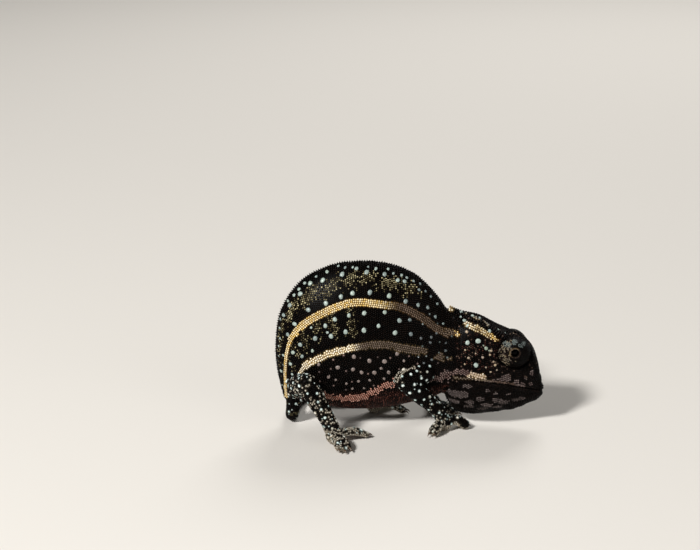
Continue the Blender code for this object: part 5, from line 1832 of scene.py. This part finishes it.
def build_lid_scales(side, word, skin_finish):
    """The fine scales on one turret's lids, smaller on the rim of the opening."""
    level, turn = lid_scale_rings(side)
    places = lid_skin(side, level, turn)
    ahead = lid_skin(side, level + 0.01, turn) - lid_skin(side, level - 0.01, turn)
    outs = unit(np.cross(lid_skin(side, level, turn + 0.01) - places, ahead) * -side)
    own = rng.random(len(places))
    marks = marks_on_lid(places, level, own)
    marks["own"] = own
    radii = np.where(level > 7.0, *LID_SCALE_RADII)
    sizes = np.column_stack([radii, radii, np.full(len(places), LID_SCALE_HEIGHT)])
    unwrap = 0.5 + (9.5 - level[:, None]) * 0.055 * np.column_stack([np.cos(turn), np.sin(turn)])
    name = f"lid_scales_{word}"
    scales = domes(name, SCALE_FORM, places, outs, sizes, skin_finish, marks, unwrap)
    dress(scales, "eyelid_skin")


def build_eyes(skin_finish):
    """For each side the lids, the rings of fine scales on them and the ball in the opening."""
    ball_finish = wet_eye()
    for side, word in ((-1, "right"), (1, "left")):
        last = len(LID_PROFILE) - 1
        levels = np.linspace(0, last, 90)
        turns = full_turn(120) * -side
        rings = surface_rings(lambda level, turn: lid_skin(side, level, turn), levels, turns)
        points, triangles = closed_tube(rings)
        level = np.concatenate([np.repeat(levels, len(turns)), [0, last]])
        marks = marks_on_lid(points, level, np.full(len(points), 0.3))
        lids = make_mesh(f"lids_{word}", points, triangles, skin_finish, marks)
        dress(lids, "eyelid_skin", f"eye_turret_{word}")
        build_lid_scales(side, word, skin_finish)

        out, height = side * (EYE_ROOT_DEPTH + EYEBALL_OUT), eye_height(side) + EYEBALL_RISE
        centre = np.array([EYE_CENTRE[0], out, height])
        tilts = np.linspace(0.03, np.pi - 0.03, 38)
        turns = full_turn(48) * -side
        ways = surface_rings(
            lambda tilt, turn: np.column_stack([
                np.sin(tilt) * np.cos(turn), -side * np.cos(tilt), np.sin(tilt) * np.sin(turn),
            ]),
            tilts,
            turns,
        )
        points, triangles = closed_tube(centre + EYEBALL_RADIUS * ways)
        ring = np.hypot(points[:, 0] - centre[0], points[:, 2] - centre[2]) / EYEBALL_RADIUS
        ball = make_mesh(f"eyeball_{word}_wet", points, triangles, ball_finish, {"ring": ring})
        dress(ball, "eye", f"eyeball_{word}")


def build_claws():
    """Every claw: a cone that narrows along a curve ahead of its knuckle and down to the floor."""
    share = np.linspace(0, 1, 9)
    rise = 0.07 + 0.16 * np.sin(np.pi * share * 0.8) - 0.34 * share**2
    radius = CLAW_RADIUS * (1 - share) ** 0.75 + 0.012
    parts = []
    for name, leg in LEGS.items():
        for line, ahead in toe_lines(leg, TOES[name[:4]]):
            root = line[-1] + ahead * 0.02
            path = root + np.outer(share * (CLAW_LENGTH + 0.02), ahead) + np.outer(rise, (0, 0, 1))
            parts.append(closed_tube(tube(path, radius, CLAW_SIDES)))
    points, faces = joined(parts)
    points[:, 2] = np.maximum(points[:, 2], 0.01)
    along = np.concatenate([np.repeat(share, CLAW_SIDES), [0, 1]])
    values = {"along": np.tile(along, len(parts))}
    dress(make_mesh("claws", points, faces, claw_horn(), values), "skin")


# The studio, and the whole scene

def build_studio():
    """A pale floor, three soft lights and the camera of the photograph."""
    corners = [(-1, -1, 0), (1, -1, 0), (1, 1, 0), (-1, 1, 0)]
    floor = make_mesh("floor", np.array(corners) * FLOOR_SIZE, [(0, 1, 2, 3)], plain_floor())
    world = bpy.data.worlds.new("studio")
    world.use_nodes = True
    sky = world.node_tree.nodes["Background"]
    sky.inputs["Color"].default_value = linear(SKY_COLOUR)
    sky.inputs["Strength"].default_value = 0.10
    scene = bpy.context.scene
    scene.world = world
    target = Vector(LIT_PLACE) * MILLIMETRE
    for name, place, power, width in LIGHTS:
        data = bpy.data.lights.new(name, "AREA")
        data.energy = power
        data.size = width * MILLIMETRE
        lamp = bpy.data.objects.new(name, data)
        lamp.location = Vector(place) * MILLIMETRE
        lamp.rotation_euler = (target - lamp.location).to_track_quat("-Z", "Y").to_euler()
        scene.collection.objects.link(lamp)
    # Colours show as the materials state them.
    scene.view_settings.view_transform = "Standard"
    camera = bpy.data.cameras.new("camera")
    camera.sensor_width = CAMERA_SENSOR
    camera.lens = CAMERA_LENS
    camera.clip_start = 0.01
    camera.clip_end = 20.0
    holder = bpy.data.objects.new("camera", camera)
    back, _ = camera_ways()
    aim = Vector(CAMERA_TARGET) + Vector((0, MIDDLE_PLANE_Y, 0))
    holder.location = (aim + back * CAMERA_DISTANCE) * MILLIMETRE
    holder.rotation_euler = (math.radians(90 - CAMERA_ELEVATION), 0, 0)
    scene.collection.objects.link(holder)
    scene.camera = holder


def main():
    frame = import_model()
    skin_finish, jewel_finish = scaly_skin(), jewel_scale()
    flesh = [name for name in frame["nodes"] if not name.startswith(("eye_turret", "eyeball"))]
    tail = tail_line()
    build_coat(build_skin(tail), tail, skin_finish, jewel_finish, flesh)
    build_eyes(skin_finish)
    build_claws()
    build_studio()


main()
